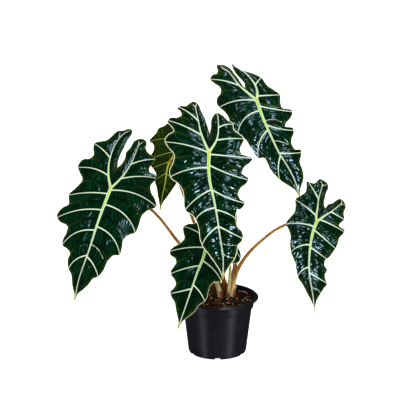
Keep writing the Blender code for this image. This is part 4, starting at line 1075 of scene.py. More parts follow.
def make_petiole(leaf, looks, material):
    """A round profile with a shallow groove and faint flutes, carried along the petiole's route and
    closed at both ends. A point is centre + radius * (cos a * side + sin a * up)."""
    form = LeafForm(leaf)
    route = petiole_route(leaf, form)
    length = chord_lengths(route)[-1]
    count = int(length / PETIOLE_RING_SPACING)
    places = np.linspace(0.0, length, count)
    centres = smooth_path(route, places)
    angles = np.linspace(0.0, tau, PETIOLE_SIDES + 1)
    base = petiole_radii(leaf, places, STEM_DEPTH, length)[:, None]
    share = (places / length)[:, None]
    groove = looks.groove / MM * np.exp(-((angles - pi) / GROOVE_HALF) ** 2) * ramp(share, *GROOVE_FADE)
    waver = WAVER_DEPTH * np.cos(WAVER_COUNT * angles + places[:, None] / WAVER_LENGTH)
    flutes = FLUTE_DEPTH * np.cos(FLUTE_COUNT * angles) + waver
    swell = SWELL_DEPTH * np.sin(places / SWELL_LENGTH + leaf.joint[0])[:, None]
    risen = ramp(places, STEM_DEPTH, STEM_DEPTH + SWELL_START)[:, None]
    radii = base - groove + (flutes + swell) * risen
    radii = radii * np.where((places == 0) | (places == length), 0.0, 1.0)[:, None]
    ring = np.broadcast_to(angles, radii.shape)
    along = np.broadcast_to(places[:, None], radii.shape)
    outward = outward_directions(centres, ring)
    points = centres[:, None] + outward * radii[..., None]
    values = {
        "grain": np.stack([np.cos(ring) * base, np.sin(ring) * base, along], axis=-1).reshape(-1, 3),
        "height": (along - STEM_DEPTH).ravel(),
        "top_gap": (length - along).ravel(),
        # How far each point faces the front, which the material uses for painted shade
        "front": np.maximum(outward @ np.array(FRONT), 0.0).ravel(),
    }
    triangles = grid_triangles(count, PETIOLE_SIDES + 1, flip=True)
    return make_piece(leaf.name + "_stalk", points.reshape(-1, 3), triangles, [material], None, values)


def make_sheath(name, leaf, facing, height, material):
    """A dry strip round a petiole's foot, narrowing and leaning out as it rises. Its two faces meet
    at its edges, and it is crinkled by two crossed waves."""
    form = LeafForm(leaf)
    route = petiole_route(leaf, form)
    rise, side = np.meshgrid(np.linspace(0.0, 1.0, SHEATH_ROWS),
                             np.linspace(-1.0, 1.0, SHEATH_COLUMNS), indexing="ij")
    places = STEM_DEPTH + SHEATH_START + rise * height
    centres = smooth_path(route, places)
    radius = petiole_radii(leaf, places, 0.0, chord_lengths(route)[-1]).max() + SHEATH_GAP
    spread = SHEATH_SPREAD * (1.0 - rise ** 2 * (1.0 - SHEATH_TIP_SHARE))
    twist = SHEATH_TWIST * np.sin(SHEATH_TWIST_TURNS * rise) * rise
    angle = np.radians(facing + side * spread + twist)
    crinkle = sum(depth * np.sin(across * side + up * rise) for depth, across, up in CRINKLES)
    reach = radius + SHEATH_FLARE * rise ** 2 + crinkle * ramp(rise, *CRINKLE_FADE)
    closing = np.sqrt((1.0 - side ** 8) * (1.0 - rise ** 12) * ramp(rise, 0.0, 0.05))
    faces = []
    for turn in (0.5, -0.5):
        out = (reach + turn * SHEATH_WALL * closing)[..., None]
        ring = np.stack([np.cos(angle), np.sin(angle), np.zeros_like(angle)], axis=-1)
        faces.append((centres + ring * out).reshape(-1, 3))
    cells = grid_triangles(*rise.shape)
    triangles = np.concatenate([cells[:, ::-1], cells + rise.size])
    values = {
        "grain": np.stack([side * 4.0, rise * 0, rise * height], axis=-1).reshape(-1, 3),
        "share": rise.ravel(),
    }
    values = {label: np.concatenate([block, block]) for label, block in values.items()}
    return make_piece(name + "_skin", np.concatenate(faces), triangles, [material], None, values)


# Soil and pot

def scatter_waves(places, rng, count, longest, shortest):
    """Uneven height from many plane waves of chance direction, length and start, scaled to about 1."""
    total = np.zeros(places.shape[:-1])
    for _ in range(count):
        turn = rng.uniform(0.0, tau)
        length = rng.uniform(shortest, longest)
        direction = np.array([cos(turn), sin(turn)])
        total += np.sin(places @ direction * tau / length + rng.uniform(0.0, tau))
    return total / np.sqrt(count / 2)


def turned_points(profile, sides):
    """A profile of (radius, height) carried round the axis: (r cos a, r sin a, z)."""
    profile = np.array(profile, float)
    turns = np.linspace(0.0, tau, sides + 1)
    radius, angle = np.meshgrid(profile[:, 0], turns, indexing="ij")
    height = np.broadcast_to(profile[:, 1:], radius.shape)
    return np.stack([radius * np.cos(angle), radius * np.sin(angle), height], axis=-1)


def pot_inner(height):
    """The radius of the pot's inside at a height."""
    collar_foot = POT_HEIGHT - COLLAR_DROP
    heights = (FLOOR_TOP, collar_foot - COLLAR_STEP, collar_foot + COLLAR_STEP, POT_HEIGHT - LIP_HEIGHT)
    radii = (WALL_FOOT_RADIUS - POT_WALL, WALL_TOP_RADIUS - POT_WALL, COLLAR_FOOT_RADIUS - POT_WALL,
             COLLAR_TOP_RADIUS - POT_WALL)
    return float(np.interp(height, heights, radii))


def make_soil_bed(looks, material):
    """A turned filling with a clumpy top: coarse and fine waves of chance direction, fading at the
    pot's wall, and a little mound round the crown of stems."""
    rng = np.random.default_rng(SOIL_SEED)
    collar_foot = POT_HEIGHT - COLLAR_DROP
    bottom = FLOOR_TOP + SOIL_BOTTOM_GAP
    outside = [(0.0, bottom), (pot_inner(FLOOR_TOP) - SOIL_CORNER, bottom)]
    for height in (bottom + SOIL_CORNER, collar_foot - COLLAR_STEP, collar_foot + 2 * COLLAR_STEP,
                   SOIL_TOP - SOIL_SHOULDER):
        outside.append((pot_inner(height) - SOIL_WALL_GAP, height))
    edge = pot_inner(SOIL_TOP) - SOIL_EDGE_GAP
    outside += [(radius, SOIL_TOP) for radius in np.linspace(edge, 0.0, SOIL_RINGS)]
    points = turned_points(outside, SOIL_SIDES)
    radius = np.linalg.norm(points[..., :2], axis=-1)
    top = points[..., 2] == SOIL_TOP
    calm = top * ramp(radius, edge, edge - SOIL_EDGE_FADE)
    lumps = LUMP_HEIGHT * scatter_waves(points[..., :2], rng, *LUMP_WAVES)
    crumbs = CRUMB_HEIGHT * scatter_waves(points[..., :2], rng, *CRUMB_WAVES)
    crown = np.linalg.norm(points[..., :2] - np.array(CROWN_CENTRE), axis=-1)
    mound = CROWN_RISE * ramp(crown, *CROWN_FADE)
    points[..., 2] += calm * (looks.unevenness / MM * (lumps + crumbs) + mound)
    triangles = grid_triangles(*points.shape[:2], flip=True)
    return make_piece("soil_bed", points.reshape(-1, 3), triangles, [material])


def make_bark(looks, material):
    """Bark chips as one piece: each is a rounded block, (sign x) |x| to a small power on a sphere,
    roughened by chance, stretched along its grain, turned and half sunk. A chip's tone is its own."""
    rng = np.random.default_rng(BARK_SEED)
    count = looks.bark_count
    rise, turn = np.meshgrid(np.linspace(-pi / 2, pi / 2, CHIP_RINGS),
                             np.linspace(0.0, tau, CHIP_SIDES + 1), indexing="ij")

    def squared(wave):
        wave = np.where(np.abs(wave) < 1e-9, 0.0, wave)
        return np.sign(wave) * np.abs(wave) ** CHIP_SQUARENESS

    block = np.stack([squared(np.cos(rise)) * squared(np.cos(turn)),
                      squared(np.cos(rise)) * squared(np.sin(turn)), squared(np.sin(rise))], axis=-1)
    rough = rng.uniform(*CHIP_ROUGHNESS, (count, CHIP_RINGS, CHIP_SIDES + 1, 1))
    rough[:, :, -1] = rough[:, :, 0]
    rough[:, 0] = rough[:, 0, :1]
    rough[:, -1] = rough[:, -1, :1]
    length = CHIP_LENGTH[0] + CHIP_LENGTH[1] * rng.random(count) ** SHORT_CHIPS
    width = CHIP_WIDTH[0] + CHIP_WIDTH[1] * rng.random(count)
    height = CHIP_HEIGHT[0] + CHIP_HEIGHT[1] * rng.random(count)
    scale = rng.uniform(*CHIP_SCALE, (count, 1))
    size = np.stack([length, width, height], axis=-1) * scale * looks.bark_size / MM / USUAL_CHIP
    chips = block * rough * size[:, None, None]
    spin = rng.uniform(0.0, tau, count)
    tip = rng.normal(0.0, CHIP_TIP, count)
    turn_z = np.stack([np.stack([np.cos(spin), -np.sin(spin), 0 * spin], -1),
                       np.stack([np.sin(spin), np.cos(spin), 0 * spin], -1),
                       np.stack([0 * spin, 0 * spin, 0 * spin + 1], -1)], axis=-2)
    turn_y = np.stack([np.stack([np.cos(tip), 0 * tip, np.sin(tip)], -1),
                       np.stack([0 * tip, 0 * tip + 1, 0 * tip], -1),
                       np.stack([-np.sin(tip), 0 * tip, np.cos(tip)], -1)], axis=-2)
    chips = np.einsum("nij,njk,nabk->nabi", turn_z, turn_y, chips)
    around = rng.uniform(0.0, tau, count)
    reach = (pot_inner(SOIL_TOP) - BARK_MARGIN) * np.sqrt(rng.random(count))
    lift = rng.uniform(*CHIP_LIFT, count) + SOIL_TOP
    chips += np.stack([reach * np.cos(around), reach * np.sin(around), lift], axis=-1)[:, None, None]
    cells = grid_triangles(CHIP_RINGS, CHIP_SIDES + 1, flip=True)
    per_chip = CHIP_RINGS * (CHIP_SIDES + 1)
    triangles = (cells[None] + per_chip * np.arange(count)[:, None, None]).reshape(-1, 3)
    values = {
        "tone": np.repeat(rng.random(count), per_chip),
        "grain": np.broadcast_to(block * size[:, None, None], chips.shape).reshape(-1, 3),
    }
    return make_piece("soil_bark", chips.reshape(-1, 3), triangles, [material], None, values)


def rounded(profile, radius, steps=4):
    """A profile with each corner taken off by a quadratic curve between points a little way along
    both sides of it."""
    profile = np.array(profile, float)
    points = [profile[:1]]
    share = np.linspace(0.0, 1.0, steps + 1)[:, None]
    for before, corner, after in zip(profile, profile[1:], profile[2:]):
        back = before - corner
        ahead = after - corner
        cut = min(radius, np.linalg.norm(back) * MOST_CUT, np.linalg.norm(ahead) * MOST_CUT)
        first = corner + back / np.linalg.norm(back) * cut
        last = corner + ahead / np.linalg.norm(ahead) * cut
        points.append((1 - share) ** 2 * first + 2 * share * (1 - share) * corner + share ** 2 * last)
    points.append(profile[-1:])
    return np.vstack(points)


def pot_profile():
    """Up the outside from the foot, over the lip and down the inside to the floor."""
    collar_foot = POT_HEIGHT - COLLAR_DROP
    lip_foot = POT_HEIGHT - LIP_HEIGHT
    return [
        (0.0, 0.0),
        (PAD_RADIUS, 0.0),
        (PAD_RADIUS + FOOT_RECESS, FOOT_RECESS),
        (FOOT_RADIUS - FOOT_WIDTH - FOOT_RECESS, FOOT_RECESS),
        (FOOT_RADIUS - FOOT_WIDTH, 0.0),
        (FOOT_RADIUS, 0.0),
        (FOOT_RADIUS + CORNER_BULGE, EDGE_ROUND),
        (WALL_FOOT_RADIUS, CORNER_HEIGHT),
        (WALL_TOP_RADIUS, collar_foot - COLLAR_STEP / 2 - COLLAR_UNDERCUT),
        (COLLAR_FOOT_RADIUS, collar_foot - COLLAR_STEP / 2 + COLLAR_UNDERCUT),
        (COLLAR_TOP_RADIUS, lip_foot - EDGE_ROUND),
        (COLLAR_TOP_RADIUS + EDGE_ROUND, lip_foot),
        (LIP_RADIUS - LIP_UNDERCUT, lip_foot),
        (LIP_RADIUS, lip_foot + LIP_UNDERCUT),
        (LIP_RADIUS, POT_HEIGHT - LIP_ROUND),
        (LIP_RADIUS - LIP_ROUND, POT_HEIGHT),
        (COLLAR_TOP_RADIUS + EDGE_ROUND / 2, POT_HEIGHT),
        (COLLAR_TOP_RADIUS - POT_WALL, POT_HEIGHT - EDGE_ROUND),
        (pot_inner(lip_foot), lip_foot),
        (pot_inner(collar_foot + COLLAR_STEP), collar_foot + COLLAR_STEP),
        (pot_inner(collar_foot - COLLAR_STEP), collar_foot - COLLAR_STEP),
        (pot_inner(FLOOR_TOP), FLOOR_TOP + EDGE_ROUND),
        (pot_inner(FLOOR_TOP) - EDGE_ROUND, FLOOR_TOP),
        (0.0, FLOOR_TOP),
    ]


def cut_out(piece, cutters):
    """Takes the cutters' shapes out of a piece with one Boolean."""
    group = bpy.data.collections.new("cutters")
    bpy.context.scene.collection.children.link(group)
    for cutter in cutters:
        for home in cutter.users_collection:
            home.objects.unlink(cutter)
        group.objects.link(cutter)
    boolean = piece.modifiers.new("Cut", "BOOLEAN")
    boolean.operation = "DIFFERENCE"
    boolean.solver = "EXACT"
    boolean.operand_type = "COLLECTION"
    boolean.collection = group
    graph = bpy.context.evaluated_depsgraph_get()
    mesh = bpy.data.meshes.new_from_object(piece.evaluated_get(graph))
    piece.modifiers.clear()
    piece.data = mesh
    for cutter in cutters:
        bpy.data.objects.remove(cutter)
    bpy.data.collections.remove(group)


def bake_place(obj, place):
    """Moves a place and turn into an object's mesh."""
    obj.data.transform(place)
    return obj


def block_cutter(length, width, height, turn, reach):
    """A plain block for cutting, centred at a reach from the axis and turned to face out."""
    corners = np.array([(x, y, z) for x in (-0.5, 0.5) for y in (-0.5, 0.5) for z in (-0.5, 0.5)])
    faces = [(0, 1, 3, 2), (4, 6, 7, 5), (0, 4, 5, 1), (2, 3, 7, 6), (0, 2, 6, 4), (1, 5, 7, 3)]
    mesh = bpy.data.meshes.new("notch")
    mesh.from_pydata((corners * [length, width, height] * MM).tolist(), [], faces)
    obj = bpy.data.objects.new("notch", mesh)
    bpy.context.scene.collection.objects.link(obj)
    move = Matrix.Translation((reach * cos(turn) * MM, reach * sin(turn) * MM, 0.0))
    return bake_place(obj, move @ Matrix.Rotation(turn, 4, "Z"))


def hole_cutter(turn):
    """A round pin for cutting a drain hole."""
    points = turned_points([(0, -2 * FLOOR_TOP), (DRAIN_HOLE_RADIUS, -2 * FLOOR_TOP),
                            (DRAIN_HOLE_RADIUS, 2 * FLOOR_TOP), (0, 2 * FLOOR_TOP)], DRAIN_HOLE_SIDES)
    pin = make_piece("pin", points.reshape(-1, 3), grid_triangles(*points.shape[:2], flip=True), [])
    return bake_place(pin, Matrix.Translation((DRAIN_HOLE_RING * cos(turn) * MM,
                                               DRAIN_HOLE_RING * sin(turn) * MM, 0.0)))


def make_pot(plastic, rim_plastic):
    """The rounded profile turned round the axis, with drain notches and holes cut out, and the lip's
    outer side in its own glossier finish."""
    points = turned_points(rounded(pot_profile(), CORNER_CUT), POT_SIDES)
    pot = make_piece("pot_shell", points.reshape(-1, 3), grid_triangles(*points.shape[:2], flip=True),
                     [plastic, rim_plastic])
    cutters = []
    for index in range(DRAIN_COUNT):
        turn = tau * index / DRAIN_COUNT - pi / 2
        cutters.append(block_cutter(DRAIN_LENGTH, DRAIN_WIDTH, 2 * DRAIN_TOP, turn, FOOT_RADIUS))
        cutters.append(hole_cutter(turn + pi / DRAIN_COUNT))
    cut_out(pot, cutters)
    centres = np.empty((len(pot.data.polygons), 3))
    pot.data.polygons.foreach_get("center", centres.ravel())
    beyond = np.linalg.norm(centres[:, :2], axis=1) > (COLLAR_TOP_RADIUS + EDGE_ROUND) * MM
    pot.data.polygons.foreach_set("material_index", beyond.astype(np.int32))
    pot.data.shade_smooth()
    pot.data.set_sharp_from_angle(angle=radians(SHARP_EDGE))
    return pot


# Materials: shader node helpers

def colour4(values):
    """A colour with its fourth value, which is always full."""
    return (*tuple(values)[:3], 1.0)


def put_value(tree, socket, value):
    """Links a socket's value where it is another node's output, and sets it otherwise."""
    if isinstance(value, bpy.types.NodeSocket):
        tree.links.new(value, socket)
    elif value is not None:
        socket.default_value = colour4(value) if socket.type == "RGBA" else value


def add_node(tree, kind, values=None, **settings):
    """A node with its settings, and its sockets' values or links by their labels."""
    node = tree.nodes.new(kind)
    for label, value in settings.items():
        setattr(node, label, value)
    for label, value in (values or {}).items():
        put_value(tree, node.inputs[label], value)
    return node


def mix(tree, share, first, second):
    """A colour between two others."""
    node = add_node(tree, "ShaderNodeMix", {0: share}, data_type="RGBA")
    put_value(tree, node.inputs[6], first)
    put_value(tree, node.inputs[7], second)
    return node.outputs[2]


def work(tree, operation, first, second=None, third=None, clamp=False):
    """One step of arithmetic."""
    node = add_node(tree, "ShaderNodeMath", operation=operation, use_clamp=clamp)
    for socket, value in zip(node.inputs, (first, second, third)):
        put_value(tree, socket, value)
    return node.outputs[0]


def step(tree, value, low, high, first=0.0, last=1.0):
    """A smooth step of a value from the low to the high end."""
    node = add_node(tree, "ShaderNodeMapRange", {"Value": value, "From Min": low, "From Max": high,
                                                 "To Min": first, "To Max": last},
                    interpolation_type="SMOOTHSTEP")
    return node.outputs["Result"]


def usual(tree, pattern, first, last):
    """A noise's usual values, 0.3 to 0.7, spread from the first number to the last."""
    return step(tree, pattern, 0.3, 0.7, first, last)


def noise(tree, place, scale, detail=3.0, roughness=0.55):
    """A cloudy pattern from 0 to 1."""
    node = add_node(tree, "ShaderNodeTexNoise", {"Vector": place, "Scale": scale, "Detail": detail,
                                                 "Roughness": roughness})
    return node.outputs["Fac"]


def stretch(tree, place, scale):
    """A place scaled by its own amount along each axis."""
    return add_node(tree, "ShaderNodeMapping", {"Vector": place, "Scale": scale}).outputs["Vector"]


def read(tree, label):
    """A number that the piece's points carry."""
    return add_node(tree, "ShaderNodeAttribute", attribute_name=label).outputs["Fac"]


def read_vector(tree, label):
    """A place or direction that the piece's points carry."""
    return add_node(tree, "ShaderNodeAttribute", attribute_name=label).outputs["Vector"]


def object_place(tree):
    """The place in the object's own coordinates."""
    return add_node(tree, "ShaderNodeTexCoord").outputs["Object"]


def bump(tree, height, distance):
    """A normal tilted as if the surface had this relief."""
    node = add_node(tree, "ShaderNodeBump", {"Height": height, "Strength": 1.0, "Distance": distance})
    return node.outputs["Normal"]


def new_group(name, inputs, outputs):
    """A shader node group with its sockets; gives the tree, its inputs and its output node."""
    tree = bpy.data.node_groups.new(name, "ShaderNodeTree")
    for label, kind in inputs:
        tree.interface.new_socket(label, in_out="INPUT", socket_type="NodeSocket" + kind)
    for label, kind in outputs:
        tree.interface.new_socket(label, in_out="OUTPUT", socket_type="NodeSocket" + kind)
    return tree, tree.nodes.new("NodeGroupInput").outputs, tree.nodes.new("NodeGroupOutput").inputs


def use_group(tree, group, values):
    """A group's outputs in a tree, for values or links at its sockets."""
    node = tree.nodes.new("ShaderNodeGroup")
    node.node_tree = group
    for label, value in values.items():
        put_value(tree, node.inputs[label], value)
    return node.outputs


def new_material(name, **constants):
    """A material with its shader; constants are set on the shader's own sockets."""
    material = bpy.data.materials.new(name)
    material.use_nodes = True
    tree = material.node_tree
    shader = tree.nodes["Principled BSDF"]
    for label, value in constants.items():
        shader.inputs[label.replace("_", " ")].default_value = value
    return material, tree, shader


def dress(tree, shader, base, roughness, normal=None):
    """Links the colour, the roughness and the relief into a material's shader."""
    put_value(tree, shader.inputs["Base Color"], base)
    put_value(tree, shader.inputs["Roughness"], roughness)
    put_value(tree, shader.inputs["Normal"], normal)


# Materials: shared effects

def mottle_group():
    """Cloudy variation of a colour: two noises of different size lighten and darken it."""
    if "mottle" in bpy.data.node_groups:
        return bpy.data.node_groups["mottle"]
    takes = [("Color", "Color"), ("Place", "Vector"), ("Scale", "Float"), ("Amount", "Float")]
    tree, take, give = new_group("mottle", takes, [("Color", "Color"), ("Mask", "Float")])
    coarse = noise(tree, take["Place"], take["Scale"])
    fine = noise(tree, take["Place"], work(tree, "MULTIPLY", take["Scale"], 4.3), 2.0)
    mask = work(tree, "MULTIPLY_ADD", fine, 0.35, work(tree, "MULTIPLY", coarse, 0.65))
    mask = step(tree, mask, 0.36, 0.64)
    factor = work(tree, "MULTIPLY_ADD", work(tree, "SUBTRACT", mask, 0.5), take["Amount"], 1.0)
    scaled = add_node(tree, "ShaderNodeVectorMath", {0: take["Color"], "Scale": factor},
                      operation="SCALE")
    put_value(tree, give["Color"], scaled.outputs[0])
    put_value(tree, give["Mask"], mask)
    return tree


def net_group():
    """The pale net over a leaf's ground colour: ribs, veins, margin, joint and drip tip."""
    if "leaf net" in bpy.data.node_groups:
        return bpy.data.node_groups["leaf net"]
    colours = ["Ground", "Vein", "Rib", "Rib end", "Rib side", "Margin", "Joint", "Tip"]
    numbers = ["Past vein", "Past rib", "Rib share", "Rim gap", "Joint gap", "Tip gap"]
    tree, take, give = new_group("leaf net", [(label, "Color") for label in colours]
                                 + [(label, "Float") for label in numbers],
                                 [("Color", "Color"), ("Net", "Float")])
    wander = noise(tree, object_place(tree), 900.0, 2.0)
    shift = work(tree, "MULTIPLY_ADD", wander, NET_WANDER, -NET_WANDER / 2)
    vein = step(tree, work(tree, "ADD", take["Past vein"], shift), *VEIN_COLOUR)
    rib = step(tree, work(tree, "ADD", take["Past rib"], shift), *RIB_COLOUR)
    core = step(tree, take["Past rib"], *RIB_CORE)
    margin = step(tree, work(tree, "ADD", take["Rim gap"], shift), *MARGIN_COLOUR)
    joint = step(tree, take["Joint gap"], *JOINT_COLOUR)
    tip = step(tree, take["Tip gap"], *TIP_COLOUR)
    rib_colour = mix(tree, step(tree, take["Rib share"], *RIB_ENDS), take["Rib"], take["Rib end"])
    rib_colour = mix(tree, core, take["Rib side"], rib_colour)
    colour = mix(tree, vein, take["Ground"], take["Vein"])
    colour = mix(tree, margin, colour, take["Margin"])
    colour = mix(tree, rib, colour, rib_colour)
    colour = mix(tree, work(tree, "MULTIPLY", joint, rib), colour, take["Joint"])
    colour = mix(tree, tip, colour, take["Tip"])
    net = work(tree, "MAXIMUM", work(tree, "MAXIMUM", vein, rib), work(tree, "MULTIPLY", margin, 0.7))
    put_value(tree, give["Color"], colour)
    put_value(tree, give["Net"], net)
    return tree


def fibre_group():
    """Fine lines along a stem or a strip of skin, from noise stretched along its length."""
    if "fibres" in bpy.data.node_groups:
        return bpy.data.node_groups["fibres"]
    takes = [("Light", "Color"), ("Dark", "Color"), ("Place", "Vector"), ("Fineness", "Float")]
    tree, take, give = new_group("fibres", takes, [("Color", "Color"), ("Lines", "Float")])
    long_place = stretch(tree, take["Place"], (1.0, 1.0, 0.06))
    lines = noise(tree, long_place, take["Fineness"], 3.0, 0.6)
    broad = noise(tree, stretch(tree, take["Place"], (0.3, 0.3, 0.05)), take["Fineness"], 2.0)
    mask = work(tree, "MULTIPLY_ADD", broad, 0.5, work(tree, "MULTIPLY", lines, 0.6))
    mask = step(tree, mask, 0.48, 0.66)
    put_value(tree, give["Color"], mix(tree, mask, take["Light"], take["Dark"]))
    put_value(tree, give["Lines"], lines)
    return tree


# Materials: one function each

def leaf_numbers(tree):
    """The places on a leaf that its points carry, by the net's socket names."""
    labels = {"Past vein": "vein", "Past rib": "rib", "Rib share": "rib_share", "Rim gap": "margin",
              "Joint gap": "joint_gap", "Tip gap": "tip_gap"}
    return {socket: read(tree, label) for socket, label in labels.items()}


def upper_material(looks):
    """Glossy near-black green with painted light on the relief's crests and painted shade in its
    hollows, olive along each panel's seam and near the margin, with the pale net on it."""
    material, tree, shader = new_material("leaf upper", Specular_IOR_Level=0.45,
                                          Specular_Tint=(0.5, 0.76, 1.0, 1.0))
    place = object_place(tree)
    ground = use_group(tree, mottle_group(), {"Color": looks.upper, "Place": place,
                                              "Scale": 70.0, "Amount": 0.9})
    # Painted light and shade: the relief's crests take the lighter colour and its hollows stay dark
    lit = work(tree, "MULTIPLY", read(tree, "swell"), PAINTED_CREST_STRENGTH, clamp=True)
    ground_colour = mix(tree, lit, ground["Color"], looks.upper_crest_painted_light)
    numbers = leaf_numbers(tree)
    seam = step(tree, read(tree, "seam"), *SEAM_COLOUR)
    near_rim = step(tree, read(tree, "reach_share"), *SEAM_OUT)
    olive = work(tree, "MULTIPLY", work(tree, "MULTIPLY", seam, near_rim), SEAM_STRENGTH)
    ground_colour = mix(tree, olive, ground_colour, looks.seam)
    edge = work(tree, "MULTIPLY", step(tree, numbers["Rim gap"], *RIM_COLOUR), RIM_STRENGTH)
    ground_colour = mix(tree, edge, ground_colour, looks.seam)
    # Painted highlight: a pale line mixed over the margin's own thin line on some leaves
    margin = mix(tree, read(tree, "pale_rim"), looks.margin, looks.margin_painted_highlight)
    net = use_group(tree, net_group(), {
        "Ground": ground_colour, "Vein": looks.upper_vein, "Rib": looks.rib,
        "Rib end": looks.rib_end, "Rib side": looks.upper_vein,
        "Margin": margin, "Joint": looks.joint, "Tip": looks.tip,
        **numbers})
    rough = usual(tree, noise(tree, place, 240.0), 0.1, 0.17)
    rough = work(tree, "MULTIPLY_ADD", work(tree, "MAXIMUM", read(tree, "calm"), 0.0), 0.06, rough)
    rough = work(tree, "MULTIPLY_ADD", net["Net"], 0.22, rough)
    dress(tree, shader, net["Color"], rough, bump(tree, noise(tree, place, 420.0), 0.000008))
    return material


def under_material(looks):
    """Satin olive with painted light on the relief's crests and painted shade in its hollows, with a
    yellow-green net.
    """
    material, tree, shader = new_material("leaf underside", Specular_IOR_Level=0.12,
                                          Specular_Tint=(0.8, 1.0, 0.4, 1.0))
    place = object_place(tree)
    ground = use_group(tree, mottle_group(), {"Color": looks.under, "Place": place,
                                              "Scale": 90.0, "Amount": 0.7})
    # Painted light and shade: the relief's crests take the lighter colour and its hollows stay dark
    lit = work(tree, "MULTIPLY", read(tree, "swell"), PAINTED_CREST_STRENGTH, clamp=True)
    ground_colour = mix(tree, lit, ground["Color"], looks.under_crest_painted_light)
    numbers = leaf_numbers(tree)
    net = use_group(tree, net_group(), {
        "Ground": ground_colour, "Vein": looks.under_vein, "Rib": looks.under_rib,
        "Rib end": looks.under_vein, "Rib side": looks.under_vein,
        "Margin": looks.margin, "Joint": looks.joint, "Tip": looks.tip,
        **numbers})
    rough = usual(tree, noise(tree, place, 300.0), 0.42, 0.58)
    dress(tree, shader, net["Color"], rough, bump(tree, noise(tree, place, 900.0), 0.0002))
    return material


def petiole_material(name, light, dark, pale, top):
    """A light ground with fine darker lines and painted shade on the sides turned away from the front,
    in other colours at foot and top.
    """
    material, tree, shader = new_material(name, Specular_IOR_Level=0.25,
                                          Specular_Tint=(1.0, 0.85, 0.6, 1.0))
    grain = read_vector(tree, "grain")
    fibres = use_group(tree, fibre_group(), {"Light": light, "Dark": dark,
                                             "Place": grain, "Fineness": 2.2})
    height = read(tree, "height")
    low = step(tree, work(tree, "MULTIPLY_ADD", fibres["Lines"], 30.0, height), 62.0, 18.0)
    # Painted shade: the sides that face away from the front take the dark colour
    front = step(tree, read(tree, "front"), 0.35, 0.9)
    colour = mix(tree, front, dark, fibres["Color"])
    colour = mix(tree, low, colour, pale)
    colour = mix(tree, step(tree, read(tree, "top_gap"), 14.0, 5.0), colour, top)
    blotch = use_group(tree, mottle_group(), {"Color": colour, "Place": object_place(tree),
                                              "Scale": 130.0, "Amount": 0.3})
    rough = usual(tree, fibres["Lines"], 0.34, 0.5)
    dress(tree, shader, blotch["Color"], rough, bump(tree, fibres["Lines"], 0.0003))
    return material


def sheath_material(looks):
    """Dry red-brown skin with lengthwise lines, straw-coloured at its tip."""
    material, tree, shader = new_material("sheath skin", Specular_IOR_Level=0.35)
    fibres = use_group(tree, fibre_group(), {"Light": looks.sheath, "Dark": looks.sheath_dark,
                                             "Place": read_vector(tree, "grain"), "Fineness": 1.6})
    tip = step(tree, read(tree, "share"), 0.55, 1.0)
    skin = mix(tree, tip, fibres["Color"], looks.petiole_pale)
    rough = usual(tree, fibres["Lines"], 0.5, 0.7)
    dress(tree, shader, skin, rough, bump(tree, fibres["Lines"], 0.0004))
    return material


def soil_material(looks):
    """Near-black peat with brown crumbs."""
    material, tree, shader = new_material("potting soil", Specular_IOR_Level=0.3)
    place = object_place(tree)
    crumbs = noise(tree, place, 700.0, 4.0, 0.7)
    ground = use_group(tree, mottle_group(), {"Color": looks.soil, "Place": place,
                                              "Scale": 160.0, "Amount": 1.0})
    brown = work(tree, "MULTIPLY", step(tree, crumbs, 0.58, 0.68), 0.6)
    peat = mix(tree, brown, ground["Color"], looks.bark_dark)
    dress(tree, shader, peat, usual(tree, crumbs, 0.8, 0.98), bump(tree, crumbs, 0.0012))
    return material


def bark_material(looks):
    """Chips from near-black to orange-brown, with grain along each."""
    material, tree, shader = new_material("bark chips", Specular_IOR_Level=0.3)
    grain = read_vector(tree, "grain")
    lines = noise(tree, stretch(tree, grain, (0.25, 1.0, 1.0)), 1.8, 3.0, 0.6)
    tone = read(tree, "tone")
    colour = mix(tree, step(tree, tone, 0.5, 0.8), looks.bark_dark, looks.bark)
    colour = mix(tree, step(tree, lines, 0.4, 0.65), colour, looks.soil)
    lit = mix(tree, step(tree, tone, 0.88, 1.0), colour, looks.bark_light)
    dress(tree, shader, lit, usual(tree, lines, 0.65, 0.9), bump(tree, lines, 0.0006))
    return material


def pot_material(looks, name, smoothest, roughest, **finish):
    """Black moulded plastic with a fine pebble and faint lines of its flow in the mould."""
    material, tree, shader = new_material(name, Specular_Tint=(0.88, 0.83, 1.0, 1.0), **finish)
    place = object_place(tree)
    base = use_group(tree, mottle_group(), {"Color": looks.plastic, "Place": place,
                                            "Scale": 45.0, "Amount": 0.35})
    flow = noise(tree, stretch(tree, place, (1.0, 1.0, 0.25)), 60.0)
    rough = usual(tree, flow, smoothest, roughest)
    pebble = noise(tree, place, 1400.0, 2.0)
    dress(tree, shader, base["Color"], rough, bump(tree, pebble, 0.00008))
    return material


def floor_material(looks):
    """Pale and dull, with a glow of its own that keeps the plant's shadow light."""
    material, tree, shader = new_material("pale floor", Specular_IOR_Level=0.2,
                                          Emission_Color=(1.0, 1.0, 1.0, 1.0), Emission_Strength=0.8)
    base = use_group(tree, mottle_group(), {"Color": looks.floor, "Place": object_place(tree),
                                            "Scale": 3.0, "Amount": 0.01})
    dress(tree, shader, base["Color"], step(tree, base["Mask"], 0.0, 1.0, 0.8, 0.85))
    return material


# Settings

def measure(label, text, default, least=0.0):
    """A setting for a length."""
    return FloatProperty(name=label, description=text, default=default, min=least, unit="LENGTH")


def power(label, text, default):
    """A setting for a lamp's power."""
    return FloatProperty(name=label, description=text, default=default, min=0.0, subtype="POWER")


def strength(label, text, default):
    """A setting for the strength of an even light."""
    return FloatProperty(name=label, description=text, default=default, min=0.0)


def colour(label, text, default):
    """A setting for a colour."""
    return FloatVectorProperty(name=label, description=text, default=default, size=3, min=0.0, max=1.0,
                               subtype="COLOR")


